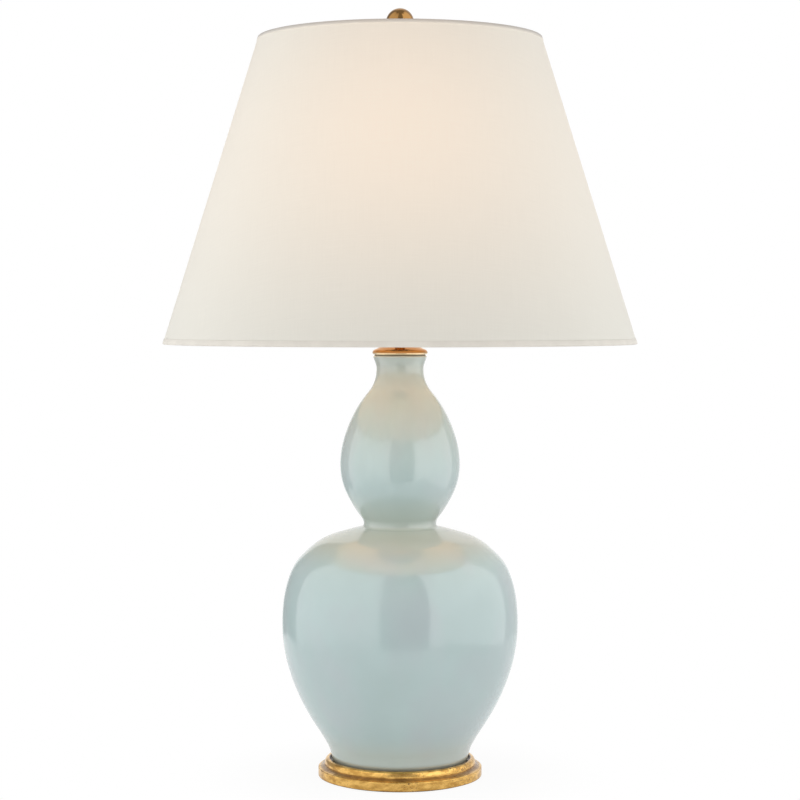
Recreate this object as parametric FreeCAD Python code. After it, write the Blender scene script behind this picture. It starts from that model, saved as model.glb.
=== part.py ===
import FreeCAD, Part
import math
import os

# Double gourd table lamp: a glazed vase on a gilded turned base, with a socket, a bulb,
# a wire harp that lifts off, a cone shade that turns on the harp's stud, and a ball finial.
# Millimetres, +Z up.  The origin is on the lamp's axis, at the surface that it stands on.
# The harp's bow lies in the XZ plane, the switch knob faces -Y and the cord leaves at +Y.

os.makedirs("parts", exist_ok=True)
Vec = FreeCAD.Vector
UP = Vec(0, 0, 1)
ACROSS = Vec(1, 0, 0)
REARWARD = Vec(0, 1, 0)

# ---- Clearances ----
RUNNING_FIT = 0.07
SLIP_FIT = 0.3
CLOSE_GAP = 0.05
OVERCUT = 1.0

# ---- Felt pad and gilded base ----
FELT_INSET = 3.4
FELT_THICK = 1.0
PLINTH_HEIGHT = 9.1
EASED_EDGE = 0.8
LEDGE_WIDTH = 6.2
COVE_HEIGHT = 2.6
COVE_RUN = 1.6
COVE_HOLLOW = 0.55
BEAD_RADIUS = 2.7
BEAD_HEIGHT = 5.1
BEAD_LAND = 1.6
SEAT_DEPTH = 2.5
SEAT_CLEARANCE = 2.0
NUT_RECESS_RADIUS = 22.0
NUT_RECESS_DEPTH = 9.0

# ---- Cord inlet at the rear of the base ----
INLET_HEIGHT = 5.6
INLET_BORE_RADIUS = 2.9
INLET_WALL = 0.7
INLET_LENGTH = 16.0
INLET_FLANGE_RADIUS = 4.1
INLET_FLANGE_THICK = 1.8
SPOT_FACE_DEPTH = 0.4

# ---- Central pipe and its nut ----
PIPE_RADIUS = 4.8
PIPE_BORE_RADIUS = 3.3
PIPE_TAIL = 1.5
PIPE_IN_SOCKET = 6.0
WASHER_RADIUS = 14.0
WASHER_THICK = 1.5
NUT_ACROSS_FLATS = 16.0
NUT_THICK = 4.0
NUT_CHAMFER = 1.0

# ---- Vase: the radius and the wall's heading, in degrees above level, at each station of the
# outline, and the height from one station to the next ----
FOOT_GASKET_THICK = 1.0
FOOT_GASKET_INSET = 1.0
FOOT_RADIUS = 65.6
FOOT_HEADING = 82
FOOT_TO_FLARE = 15.8
FLARE_RADIUS = 70.3
FLARE_HEADING = 61
FLARE_TO_HAUNCH = 31.0
HAUNCH_RADIUS = 89.5
HAUNCH_HEADING = 60
HAUNCH_TO_BELLY = 86.4
BELLY_RADIUS = 114.1
BELLY_TO_SHOULDER = 48.6
SHOULDER_RADIUS = 105.3
SHOULDER_HEADING = 113
SHOULDER_TO_TURN = 25.0
TURN_RADIUS = 84.0
TURN_HEADING = 141
TURN_TO_BROW = 16.2
BROW_RADIUS = 44.0
BROW_HEADING = 165
BROW_TO_WAIST = 4.4
WAIST_RADIUS = 35.2
WAIST_TO_UNDER = 6.2
UNDER_RADIUS = 37.2
UNDER_HEADING = 52
UNDER_TO_BULB = 51.2
BULB_RADIUS = 58.0
BULB_TO_CROWN = 49.0
CROWN_RADIUS = 45.0
CROWN_HEADING = 117
CROWN_TO_NECK = 43.3
NECK_RADIUS = 22.8
NECK_TO_LIP = 11.8
LIP_RADIUS = 26.0
LIP_HEADING = 70
LIP_HEIGHT = 1.8
VASE_WALL = 5.0
VASE_FLOOR = 6.0
FOOT_RECESS_DEPTH = 3.0
FOOT_RING_WIDTH = 12.0
PIPE_HOLE_RADIUS = 6.0

# ---- Vase cap and neck ----
LIP_GASKET_THICK = 0.6
LIP_GASKET_INSET = 1.6
CAP_HEIGHT = 8.1
CAP_RIM_INSET = 0.2
CAP_RIM_HEADING = 55
CAP_OVERHANG = 0.9
CAP_ROLL_HEIGHT = 2.8
CAP_SHOULDER = 6.4
CAP_WALL = 1.0
NECK_TUBE_HEIGHT = 29.4
NECK_TUBE_END_RADIUS = 8.5
NECK_TUBE_WAIST_RADIUS = 6.6
NECK_TUBE_BAND = 2.2
NECK_TUBE_STEP = 0.6

# ---- Harp saddle ----
STRIP_THICK = 1.2
STRIP_WIDTH = 12.7
STRIP_FLAT = 13.0
LEDGE_RISE = 14.0
TAB_HEIGHT = 10.0
TAB_WIDTH = 3.8

# ---- Harp ----
WIRE_RADIUS = 1.6
LEG_OFFSET = 33.0
LEG_STRAIGHT = 33.0
BOW_WIDEST_RISE = 76.0
BOW_HALF_WIDTH = 60.0
HARP_HEIGHT = 254.0
PAD_HALF_LENGTH = 9.0
PAD_WIDTH = 9.0
FERRULE_HEIGHT = 12.0
FERRULE_BORE_RADIUS = 3.05
FERRULE_WALL = 0.85
STUD_RADIUS = 3.1
STUD_LENGTH = 15.5
STUD_HEAD_RADIUS = 5.0
STUD_HEAD_THICK = 1.8
STUD_CHAMFER = 0.8

# ---- Socket ----
SOCKET_HEIGHT = 60.0
SOCKET_RADIUS = 17.0
SOCKET_CAP_HEIGHT = 19.0
SOCKET_HUB_RADIUS = 7.4
SOCKET_HUB_HEIGHT = 4.5
SOCKET_DOME_HEIGHT = 7.25
SOCKET_DOME_HEADING = 10
SOCKET_WALL = 0.7
SHELL_OVERLAP = 4.0
SHELL_BEAD_RADIUS = 0.9
PAPER_THICK = 0.7
PAPER_DROP = 1.0
INSULATOR_RISE = 12.0
INSULATOR_HEIGHT = 19.0
INSULATOR_STEP = 3.0
SCREW_SHELL_WALL = 0.5
SCREW_SHELL_DROP = 2.0
LEAF_THICK = 0.8
LEAF_RADIUS = 6.0
TERMINAL_OFFSET = 7.4
TERMINAL_RADIUS = 3.2
TERMINAL_THICK = 2.0
SET_SCREW_RADIUS = 1.4
SET_SCREW_STAND = 3.0
SLOT_WIDTH = 0.7
SLOT_DEPTH = 0.8

# ---- Switch ----
SWITCH_RISE = 23.0
SHAFT_RADIUS = 1.6
SHAFT_LENGTH = 22.0
SHAFT_TIP = 10.0
KNOB_RADIUS = 4.6
KNOB_LENGTH = 11.0
KNOB_STAND = 3.5
KNOB_FLUTES = 10
KNOB_FLUTE_RADIUS = 0.8
KNOB_FLUTE_START = 2.0

# ---- Bulb ----
SCREW_CAP_RADIUS = 13.0
SCREW_CAP_HEIGHT = 21.0
SCREW_CAP_WALL = 0.6
SCREW_CAP_TAPER = 3.0
SCREW_CAP_FOOT_RADIUS = 7.0
CONTACT_HEIGHT = 4.5
CONTACT_RADIUS = 4.6
CONTACT_NOSE = 1.2
GLASS_RADIUS = 27.5
GLASS_LENGTH = 76.0
GLASS_THROAT_RADIUS = 12.4
GLASS_FLARE_RADIUS = 14.6
GLASS_FLARE_RISE = 12.0
GLASS_FLARE_HEADING = 72
GLASS_WALL = 0.9

# ---- Shade ----
SPIDER_RECESS = 14.5
SHADE_BOTTOM_RADIUS = 228.6
SHADE_TOP_RADIUS = 137.5
SHADE_HEIGHT = 295.1
FABRIC_THICK = 0.6
LINER_THICK = 0.6
RING_WIRE_RADIUS = 1.5
RING_INSET = 2.4
TAPE_THICK = 0.4
TAPE_FACE = 5.0
TAPE_TAIL = 7.0
TAPE_FOLD = 0.96
SEAM_WIDTH = 12.0
SEAM_THICK = 0.4

# ---- Spider ----
SPIDER_ARMS = 3
HUB_RADIUS = 12.0
HUB_THICK = 1.5
ARM_START = 8.4
ARM_DROP_START = 14.0
ARM_DROP_END = 36.0

# ---- Finial ----
BALL_RADIUS = 13.6
FINIAL_COLLAR_RADIUS = 7.0
FINIAL_COLLAR_HEIGHT = 2.5
FINIAL_STEM_RADIUS = 5.0
FINIAL_STEM_WAIST_RADIUS = 4.2
FINIAL_STEM_HEIGHT = 13.1
FINIAL_BORE_DEPTH = 17.0
FINIAL_CHAMFER = 0.8

# ---- Places that follow from the sizes above ----
SEAT_RADIUS = FOOT_RADIUS + SEAT_CLEARANCE
BEAD_CENTRE = SEAT_RADIUS + BEAD_LAND
COVE_TOP_RADIUS = BEAD_CENTRE + math.sqrt(BEAD_RADIUS ** 2 - (BEAD_HEIGHT - BEAD_RADIUS) ** 2)
COVE_FOOT_RADIUS = COVE_TOP_RADIUS + COVE_RUN
BASE_RADIUS = COVE_FOOT_RADIUS + LEDGE_WIDTH + EASED_EDGE
BASE_BOTTOM = FELT_THICK
PLINTH_TOP = BASE_BOTTOM + PLINTH_HEIGHT
COVE_TOP = PLINTH_TOP + COVE_HEIGHT
BASE_TOP = COVE_TOP + BEAD_HEIGHT
SEAT_FLOOR = BASE_TOP - SEAT_DEPTH
FOOT_Z = SEAT_FLOOR + FOOT_GASKET_THICK
NUT_CEILING = BASE_BOTTOM + NUT_RECESS_DEPTH
PIPE_BOTTOM = NUT_CEILING - WASHER_THICK - NUT_THICK - PIPE_TAIL

FLARE_Z = FOOT_Z + FOOT_TO_FLARE
HAUNCH_Z = FLARE_Z + FLARE_TO_HAUNCH
BELLY_Z = HAUNCH_Z + HAUNCH_TO_BELLY
SHOULDER_Z = BELLY_Z + BELLY_TO_SHOULDER
TURN_Z = SHOULDER_Z + SHOULDER_TO_TURN
BROW_Z = TURN_Z + TURN_TO_BROW
WAIST_Z = BROW_Z + BROW_TO_WAIST
UNDER_Z = WAIST_Z + WAIST_TO_UNDER
BULB_Z = UNDER_Z + UNDER_TO_BULB
CROWN_Z = BULB_Z + BULB_TO_CROWN
NECK_Z = CROWN_Z + CROWN_TO_NECK
LIP_Z = NECK_Z + NECK_TO_LIP
VASE_TOP = LIP_Z + LIP_HEIGHT
MOUTH_RADIUS = NECK_RADIUS - VASE_WALL

CAP_BOTTOM = VASE_TOP + LIP_GASKET_THICK
CAP_TOP = CAP_BOTTOM + CAP_HEIGHT
SADDLE_BOTTOM = CAP_TOP + NECK_TUBE_HEIGHT
SADDLE_TOP = SADDLE_BOTTOM + STRIP_THICK
LEDGE_Z = SADDLE_TOP + LEDGE_RISE
TAB_FACE = LEG_OFFSET - WIRE_RADIUS - CLOSE_GAP
FERRULE_CENTRE = (TAB_FACE - STRIP_THICK + LEG_OFFSET + WIRE_RADIUS) / 2
HARP_TOP = SADDLE_BOTTOM + HARP_HEIGHT
STUD_TOP = HARP_TOP + STUD_LENGTH
PIPE_TOP = SADDLE_TOP + PIPE_IN_SOCKET

SOCKET_TOP = SADDLE_TOP + SOCKET_HEIGHT
SOCKET_CAP_TOP = SADDLE_TOP + SOCKET_CAP_HEIGHT
SHELL_RADIUS = SOCKET_RADIUS - SOCKET_WALL - CLOSE_GAP
SHELL_BOTTOM = SOCKET_CAP_TOP - SHELL_OVERLAP
PAPER_RADIUS = SHELL_RADIUS - SOCKET_WALL
INSULATOR_RADIUS = PAPER_RADIUS - PAPER_THICK - CLOSE_GAP
INSULATOR_BOTTOM = SADDLE_TOP + INSULATOR_RISE
INSULATOR_TOP = INSULATOR_BOTTOM + INSULATOR_HEIGHT
SWITCH_Z = SADDLE_TOP + SWITCH_RISE
SCREW_BORE_RADIUS = SCREW_CAP_RADIUS + SLIP_FIT
CONTACT_BOTTOM = INSULATOR_TOP + LEAF_THICK
SCREW_CAP_BOTTOM = CONTACT_BOTTOM + CONTACT_HEIGHT
SCREW_CAP_TOP = SCREW_CAP_BOTTOM + SCREW_CAP_HEIGHT
GLASS_TOP = SCREW_CAP_TOP + GLASS_LENGTH

SHADE_TOP = HARP_TOP + SPIDER_RECESS
SHADE_BOTTOM = SHADE_TOP - SHADE_HEIGHT
SLOPE = math.atan2(SHADE_BOTTOM_RADIUS - SHADE_TOP_RADIUS, SHADE_HEIGHT)
SHEET_THICK = FABRIC_THICK + LINER_THICK
HUB_TOP = HARP_TOP + HUB_THICK
ARM_Z = HUB_TOP + RING_WIRE_RADIUS - CLOSE_GAP
BALL_BOTTOM = HUB_TOP + FINIAL_COLLAR_HEIGHT + FINIAL_STEM_HEIGHT


# ---- Drawing helpers ----
class Outline:
    """A chain of lines and arcs in the plane of radius and height, drawn from point to point."""

    def __init__(self, radius, height):
        self.start = (radius, height)
        self.here = self.start
        self.edges = []

    def line(self, radius, height):
        """Straight to a point."""
        self.edges.append(Part.LineSegment(place(self.here), place((radius, height))).toShape())
        self.here = (radius, height)
        return self

    def arc(self, middle, end):
        """A round stretch through a middle point."""
        self.edges.append(Part.Arc(place(self.here), place(middle), place(end)).toShape())
        self.here = end
        return self

    def round_to(self, corner, end):
        """A round stretch that leaves along the line to the corner and arrives from it."""
        return self.arc(arc_middle(self.here, corner, end), end)

    def bevel_to(self, corner, end, size):
        """Straight to a corner, cut across it, and on to a point."""
        before = toward(corner, self.here, size)
        after = toward(corner, end, size)
        self.line(*before)
        self.line(*after)
        return self if math.dist(after, end) < 1e-6 else self.line(*end)

    def sweep_to(self, heading, end, end_heading):
        """Two tangent arcs that leave at one heading and arrive at another, in degrees."""
        corner, joint, end_corner = biarc(self.here, heading, end, end_heading)
        self.round_to(corner, joint)
        return self.round_to(end_corner, end)

    def stations(self, rows):
        """Tangent arcs through rows of radius, height and heading; the first row is here."""
        for (_, _, heading), (radius, height, end_heading) in zip(rows[:-1], rows[1:]):
            self.sweep_to(heading, (radius, height), end_heading)
        return self

    def wire(self):
        """The open chain."""
        return Part.Wire(self.edges)

    def face(self):
        """The closed outline as a face."""
        if math.dist(self.here, self.start) > 1e-6:
            self.line(*self.start)
        return Part.Face(Part.Wire(self.edges))

    def turned(self):
        """The solid of revolution about the lamp's axis."""
        return self.face().revolve(Vec(0, 0, 0), UP, 360)


def place(point):
    """A radius and a height as a point of the XZ plane."""
    return Vec(point[0], 0, point[1])


def toward(start, end, distance):
    """The point at a distance from the start on the way to the end."""
    share = distance / math.dist(start, end)
    return (start[0] + (end[0] - start[0]) * share, start[1] + (end[1] - start[1]) * share)


def arc_middle(start, corner, end):
    """The middle of the arc that is tangent at its ends to the lines to the corner."""
    mid_x = (start[0] + end[0]) / 2
    mid_z = (start[1] + end[1]) / 2
    half_chord = math.dist(start, end) / 2
    reach = math.dist((mid_x, mid_z), corner)
    rise = half_chord * math.tan(math.atan2(reach, half_chord) / 2) / reach
    return (mid_x + (corner[0] - mid_x) * rise, mid_z + (corner[1] - mid_z) * rise)


def biarc(start, heading, end, end_heading):
    """The two corners and the joint of a pair of tangent arcs with legs of equal length."""
    t0 = (math.cos(math.radians(heading)), math.sin(math.radians(heading)))
    t1 = (math.cos(math.radians(end_heading)), math.sin(math.radians(end_heading)))
    chord = (end[0] - start[0], end[1] - start[1])
    along = chord[0] * (t0[0] + t1[0]) + chord[1] * (t0[1] + t1[1])
    square = chord[0] ** 2 + chord[1] ** 2
    spread = 2 * (1 - t0[0] * t1[0] - t0[1] * t1[1])
    if spread < 1e-9:
        leg = square / (4 * (chord[0] * t1[0] + chord[1] * t1[1]))
    else:
        leg = (math.sqrt(along ** 2 + spread * square) - along) / spread
    corner = (start[0] + leg * t0[0], start[1] + leg * t0[1])
    end_corner = (end[0] - leg * t1[0], end[1] - leg * t1[1])
    joint = ((corner[0] + end_corner[0]) / 2, (corner[1] + end_corner[1]) / 2)
    return corner, joint, end_corner


def inset(row, depth):
    """A station of a wall's outside, moved square to the wall by its thickness."""
    radius, height, heading = row
    angle = math.radians(heading)
    return (radius - depth * math.sin(angle), height + depth * math.cos(angle), heading)


def backwards(rows):
    """The same stations, passed the other way."""
    return [(radius, height, heading + 180) for radius, height, heading in reversed(rows)]


def tube(outer, inner, bottom, top):
    """A plain ring or tube on the lamp's axis."""
    outline = Outline(inner, bottom)
    outline.line(outer, bottom)
    outline.line(outer, top)
    outline.line(inner, top)
    return outline.turned()


def rod(radius, start, end):
    """A cylinder from one point to another."""
    return Part.makeCylinder(radius, (end - start).Length, start, end - start)


def block(low, high):
    """A box between two corners."""
    return Part.makeBox(high.x - low.x, high.y - low.y, high.z - low.z, low)


def both_sides(shape):
    """The shape and its mirror image in the YZ plane."""
    return shape.fuse(shape.mirror(Vec(0, 0, 0), ACROSS))


def swept_wire(path, radius):
    """Round wire along a path of tangent lines and arcs in the XZ plane."""
    first = path.OrderedEdges[0]
    start = first.valueAt(first.FirstParameter)
    heading = first.tangentAt(first.FirstParameter)
    section = Part.Wire([Part.Circle(start, heading, radius).toShape()])
    return path.makePipeShell([section], True, False)


def write(name, shape):
    """One file for each sub-part."""
    shape = shape.removeSplitter()
    print(name, len(shape.Solids), round(shape.Volume, 1), shape.isValid())
    shape.exportStep("parts/" + name + ".step")


# ---- Base ----
def felt_pad():
    return Part.makeCylinder(BASE_RADIUS - FELT_INSET, FELT_THICK)


def gilt_base():
    """A plinth with a ledge, then a cove and a bead, with a seat for the vase's foot."""
    chord = math.hypot(COVE_RUN, COVE_HEIGHT)
    hollow_x = COVE_FOOT_RADIUS - COVE_RUN / 2 - COVE_HOLLOW * COVE_HEIGHT / chord
    hollow_z = PLINTH_TOP + COVE_HEIGHT / 2 - COVE_HOLLOW * COVE_RUN / chord
    bead_centre_z = BASE_TOP - BEAD_RADIUS
    outline = Outline(0, BASE_BOTTOM)
    outline.bevel_to((BASE_RADIUS, BASE_BOTTOM), (BASE_RADIUS, PLINTH_TOP - EASED_EDGE), EASED_EDGE)
    outline.line(BASE_RADIUS - EASED_EDGE, PLINTH_TOP)
    outline.line(COVE_FOOT_RADIUS, PLINTH_TOP)
    outline.arc((hollow_x, hollow_z), (COVE_TOP_RADIUS, COVE_TOP))
    outline.arc((BEAD_CENTRE + BEAD_RADIUS, bead_centre_z), (BEAD_CENTRE, BASE_TOP))
    outline.line(SEAT_RADIUS, BASE_TOP)
    outline.line(SEAT_RADIUS, SEAT_FLOOR)
    outline.line(0, SEAT_FLOOR)
    base = outline.turned()
    base = base.cut(tube(NUT_RECESS_RADIUS, 0, BASE_BOTTOM, NUT_CEILING))
    base = base.cut(rod(PIPE_RADIUS + SLIP_FIT, Vec(0, 0, 0), Vec(0, 0, BASE_TOP)))
    outer_face = BASE_RADIUS - SPOT_FACE_DEPTH
    sleeve_radius = INLET_BORE_RADIUS + INLET_WALL
    base = base.cut(rod(sleeve_radius, Vec(0, 0, INLET_HEIGHT), Vec(0, BASE_RADIUS, INLET_HEIGHT)))
    face = Vec(0, outer_face, INLET_HEIGHT)
    spot = rod(INLET_FLANGE_RADIUS + SLIP_FIT, face, face + REARWARD * 2 * SPOT_FACE_DEPTH)
    return base.cut(spot)


def cord_bushing():
    """The plastic sleeve that the cord passes through, with its flange in the spot face."""
    face = Vec(0, BASE_RADIUS - SPOT_FACE_DEPTH, INLET_HEIGHT)
    inner_end = face - REARWARD * INLET_LENGTH
    outer_end = face + REARWARD * INLET_FLANGE_THICK
    sleeve = rod(INLET_BORE_RADIUS + INLET_WALL, inner_end, face)
    flange = rod(INLET_FLANGE_RADIUS, face, outer_end)
    rim = [edge for edge in flange.Edges if abs(edge.CenterOfMass.y - outer_end.y) < 1e-6]
    flange = flange.makeChamfer(INLET_FLANGE_THICK / 2, rim)
    return sleeve.fuse(flange).cut(rod(INLET_BORE_RADIUS, inner_end, outer_end))


def bottom_washer():
    return tube(WASHER_RADIUS, PIPE_RADIUS + CLOSE_GAP, NUT_CEILING - WASHER_THICK, NUT_CEILING)


def bottom_nut():
    """The hexagon nut that clamps the whole stack."""
    top = NUT_CEILING - WASHER_THICK
    bottom = top - NUT_THICK
    corner = NUT_ACROSS_FLATS / math.sqrt(3)
    angles = [math.radians(60 * index) for index in range(7)]
    points = [Vec(corner * math.cos(angle), corner * math.sin(angle), bottom) for angle in angles]
    hexagon = Part.Face(Part.makePolygon(points)).extrude(UP * NUT_THICK)
    cone = Outline(0, bottom)
    cone.line(corner - NUT_CHAMFER, bottom)
    cone.line(corner + NUT_CHAMFER, bottom + NUT_CHAMFER)
    cone.line(corner + NUT_CHAMFER, top)
    cone.line(0, top)
    return hexagon.common(cone.turned()).cut(tube(PIPE_RADIUS + CLOSE_GAP, 0, 0, NUT_CEILING))


def threaded_pipe():
    return tube(PIPE_RADIUS, PIPE_BORE_RADIUS, PIPE_BOTTOM, PIPE_TOP)


def foot_gasket():
    outer = FOOT_RADIUS - FOOT_GASKET_INSET
    return tube(outer, FOOT_RADIUS - FOOT_RING_WIDTH, SEAT_FLOOR, FOOT_Z)


# ---- Vase ----
def vase_inside(row):
    """The point of the vase's inner wall behind a station of its outside."""
    return inset(row, VASE_WALL)[:2]


def vase_body():
    """The double gourd: a broad lower body, a tight waist, a smaller bulb and a flared lip."""
    foot = (FOOT_RADIUS, FOOT_Z, FOOT_HEADING)
    flare = (FLARE_RADIUS, FLARE_Z, FLARE_HEADING)
    haunch = (HAUNCH_RADIUS, HAUNCH_Z, HAUNCH_HEADING)
    belly = (BELLY_RADIUS, BELLY_Z, 90)
    shoulder = (SHOULDER_RADIUS, SHOULDER_Z, SHOULDER_HEADING)
    turn = (TURN_RADIUS, TURN_Z, TURN_HEADING)
    brow = (BROW_RADIUS, BROW_Z, BROW_HEADING)
    waist = (WAIST_RADIUS, WAIST_Z, 90)
    under = (UNDER_RADIUS, UNDER_Z, UNDER_HEADING)
    bulb = (BULB_RADIUS, BULB_Z, 90)
    crown = (CROWN_RADIUS, CROWN_Z, CROWN_HEADING)
    neck = (NECK_RADIUS, NECK_Z, 90)
    lip = (LIP_RADIUS, LIP_Z, LIP_HEADING)
    underside_z = FOOT_Z + FOOT_RECESS_DEPTH
    floor_z = underside_z + VASE_FLOOR
    floor_radius = FLARE_RADIUS - 2 * VASE_WALL
    ring_inner = FOOT_RADIUS - FOOT_RING_WIDTH
    outline = Outline(FOOT_RADIUS, FOOT_Z)
    outline.stations([foot, flare, haunch, belly, shoulder, turn, brow, waist])
    outline.stations([waist, under, bulb, crown, neck, lip])
    outline.round_to((LIP_RADIUS, VASE_TOP), (LIP_RADIUS - LIP_HEIGHT, VASE_TOP))
    outline.line(MOUTH_RADIUS, VASE_TOP)
    outline.line(*vase_inside(neck))
    outline.arc(vase_inside(crown), vase_inside(bulb))
    outline.line(*vase_inside(under))
    outline.line(*vase_inside(waist))
    outline.line(*vase_inside(brow))
    outline.line(*vase_inside(turn))
    outline.arc(vase_inside(shoulder), vase_inside(belly))
    outline.arc(vase_inside(haunch), (floor_radius, floor_z))
    outline.line(PIPE_HOLE_RADIUS, floor_z)
    outline.line(PIPE_HOLE_RADIUS, underside_z)
    outline.line(ring_inner - FOOT_RECESS_DEPTH, underside_z)
    outline.line(ring_inner, FOOT_Z)
    return outline.turned()


def lip_gasket():
    return tube(LIP_RADIUS - LIP_GASKET_INSET, MOUTH_RADIUS, VASE_TOP, CAP_BOTTOM)


def vase_cap():
    """A spun brass cap: a rolled edge, a rounded shoulder and a flat top."""
    rim_radius = LIP_RADIUS - CAP_RIM_INSET
    widest_radius = LIP_RADIUS + CAP_OVERHANG
    rim = (rim_radius, CAP_BOTTOM, CAP_RIM_HEADING)
    widest = (widest_radius, CAP_BOTTOM + CAP_ROLL_HEIGHT, 90)
    flat = (widest_radius - CAP_SHOULDER, CAP_TOP, 180)
    inner = backwards([inset(widest, CAP_WALL), inset(flat, CAP_WALL)])
    inner_rim = (rim_radius - 2 * CAP_WALL, CAP_BOTTOM)
    outline = Outline(rim_radius, CAP_BOTTOM)
    outline.stations([rim, widest, flat])
    outline.line(PIPE_RADIUS + SLIP_FIT, CAP_TOP)
    outline.line(PIPE_RADIUS + SLIP_FIT, CAP_TOP - CAP_WALL)
    outline.line(*inner[0][:2])
    outline.stations(inner)
    outline.line(*inner_rim)
    return outline.turned()


def neck_tube():
    """A turned brass neck, drawn in between a band at each end."""
    band_low = CAP_TOP + NECK_TUBE_BAND
    band_high = SADDLE_BOTTOM - NECK_TUBE_BAND
    middle = (CAP_TOP + SADDLE_BOTTOM) / 2
    shoulder = NECK_TUBE_END_RADIUS - NECK_TUBE_STEP
    outline = Outline(PIPE_RADIUS + CLOSE_GAP, CAP_TOP)
    outline.line(NECK_TUBE_END_RADIUS, CAP_TOP)
    outline.line(NECK_TUBE_END_RADIUS, band_low)
    outline.line(shoulder, band_low)
    outline.arc((NECK_TUBE_WAIST_RADIUS, middle), (shoulder, band_high))
    outline.line(NECK_TUBE_END_RADIUS, band_high)
    outline.line(NECK_TUBE_END_RADIUS, SADDLE_BOTTOM)
    outline.line(PIPE_RADIUS + CLOSE_GAP, SADDLE_BOTTOM)
    return outline.turned()


# ---- Harp saddle, harp, ferrules and stud ----
def harp_saddle():
    """A bent strip: each arm curves up to a ledge for the harp's foot and a narrow tab beside it."""
    outer_face = LEG_OFFSET + WIRE_RADIUS
    underside = LEDGE_Z - STRIP_THICK
    outline = Outline(0, SADDLE_BOTTOM)
    outline.line(STRIP_FLAT, SADDLE_BOTTOM)
    outline.sweep_to(0, (outer_face, underside), 90)
    outline.line(outer_face, LEDGE_Z)
    outline.line(TAB_FACE, LEDGE_Z)
    outline.line(TAB_FACE, LEDGE_Z + TAB_HEIGHT)
    outline.line(TAB_FACE - STRIP_THICK, LEDGE_Z + TAB_HEIGHT)
    outline.line(TAB_FACE - STRIP_THICK, underside)
    outline.line(outer_face - STRIP_THICK, underside)
    outline.sweep_to(270, (STRIP_FLAT, SADDLE_TOP), 180)
    outline.line(0, SADDLE_TOP)
    arm = outline.face().extrude(Vec(0, STRIP_WIDTH, 0))
    arm.translate(Vec(0, -STRIP_WIDTH / 2, 0))
    far_corner = Vec(outer_face, STRIP_WIDTH, LEDGE_Z + TAB_HEIGHT)
    beside_tab = block(Vec(0, TAB_WIDTH / 2, LEDGE_Z), far_corner)
    arm = arm.cut(beside_tab)
    arm = arm.cut(beside_tab.mirror(Vec(0, 0, 0), REARWARD))
    hole = rod(PIPE_RADIUS + SLIP_FIT, UP * (SADDLE_BOTTOM - OVERCUT), UP * (SADDLE_TOP + OVERCUT))
    return both_sides(arm).cut(hole)


def harp_bow():
    """One length of wire, bent out round the bulb and flattened at the top for the stud."""
    top_z = HARP_TOP - WIRE_RADIUS
    bend_z = LEDGE_Z + LEG_STRAIGHT
    path = Outline(LEG_OFFSET, LEDGE_Z)
    path.line(LEG_OFFSET, bend_z)
    path.sweep_to(90, (BOW_HALF_WIDTH, bend_z + BOW_WIDEST_RISE), 90)
    path.sweep_to(90, (PAD_HALF_LENGTH, top_z), 180)
    path.line(0, top_z)
    half = swept_wire(path.wire(), WIRE_RADIUS)
    low = Vec(-PAD_HALF_LENGTH, -PAD_WIDTH / 2, HARP_TOP - 2 * WIRE_RADIUS)
    pad = block(low, Vec(PAD_HALF_LENGTH, PAD_WIDTH / 2, HARP_TOP))
    corners = [edge for edge in pad.Edges if edge.BoundBox.ZLength > WIRE_RADIUS]
    pad = pad.makeFillet(PAD_WIDTH / 3, corners)
    bow = both_sides(half).fuse(pad)
    return bow.cut(rod(STUD_RADIUS, UP * (low.z - OVERCUT), UP * (HARP_TOP + OVERCUT)))


def harp_stud():
    """The stud that carries the shade, headed over under the harp's flat."""
    bottom = HARP_TOP - 2 * WIRE_RADIUS
    head_z = bottom - STUD_HEAD_THICK
    outline = Outline(0, head_z)
    outline.bevel_to((STUD_HEAD_RADIUS, head_z), (STUD_HEAD_RADIUS, bottom), STUD_CHAMFER)
    outline.line(STUD_RADIUS, bottom)
    outline.bevel_to((STUD_RADIUS, STUD_TOP), (0, STUD_TOP), STUD_CHAMFER)
    return outline.turned()


def harp_ferrule(side):
    """The sleeve that drops over the harp's foot and the saddle's tab."""
    outer = FERRULE_BORE_RADIUS + FERRULE_WALL
    foot = Vec(side * FERRULE_CENTRE, 0, LEDGE_Z)
    head = foot + UP * FERRULE_HEIGHT
    sleeve = rod(outer, foot, head)
    rims = [edge for edge in sleeve.Edges if edge.Closed]
    sleeve = sleeve.makeChamfer(FERRULE_WALL / 2, rims)
    return sleeve.cut(rod(FERRULE_BORE_RADIUS, foot, head))


# ---- Socket ----
def socket_cap():
    """The lower half of the socket's case: a threaded hub and a domed skirt."""
    inner = SOCKET_RADIUS - SOCKET_WALL
    skirt_bottom = SADDLE_TOP + SOCKET_HUB_HEIGHT
    dome_start = (SOCKET_HUB_RADIUS, skirt_bottom)
    dome_end = (SOCKET_RADIUS, skirt_bottom + SOCKET_DOME_HEIGHT)
    hub_inner = PIPE_RADIUS + CLOSE_GAP
    _, shoulder, _ = biarc(dome_start, SOCKET_DOME_HEADING, dome_end, 90)
    dome_inside = (shoulder[0] - SOCKET_WALL, shoulder[1] + SOCKET_WALL)
    outline = Outline(hub_inner, SADDLE_TOP)
    outline.line(SOCKET_HUB_RADIUS, SADDLE_TOP)
    outline.line(*dome_start)
    outline.sweep_to(SOCKET_DOME_HEADING, dome_end, 90)
    outline.line(SOCKET_RADIUS, SOCKET_CAP_TOP)
    outline.line(inner, SOCKET_CAP_TOP)
    outline.line(inner, dome_end[1])
    outline.line(*dome_inside)
    outline.line(SOCKET_HUB_RADIUS, skirt_bottom + 2 * SOCKET_WALL)
    outline.line(hub_inner, skirt_bottom + 2 * SOCKET_WALL)
    return outline.turned().cut(set_screw_rod(SET_SCREW_RADIUS + CLOSE_GAP))


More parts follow.
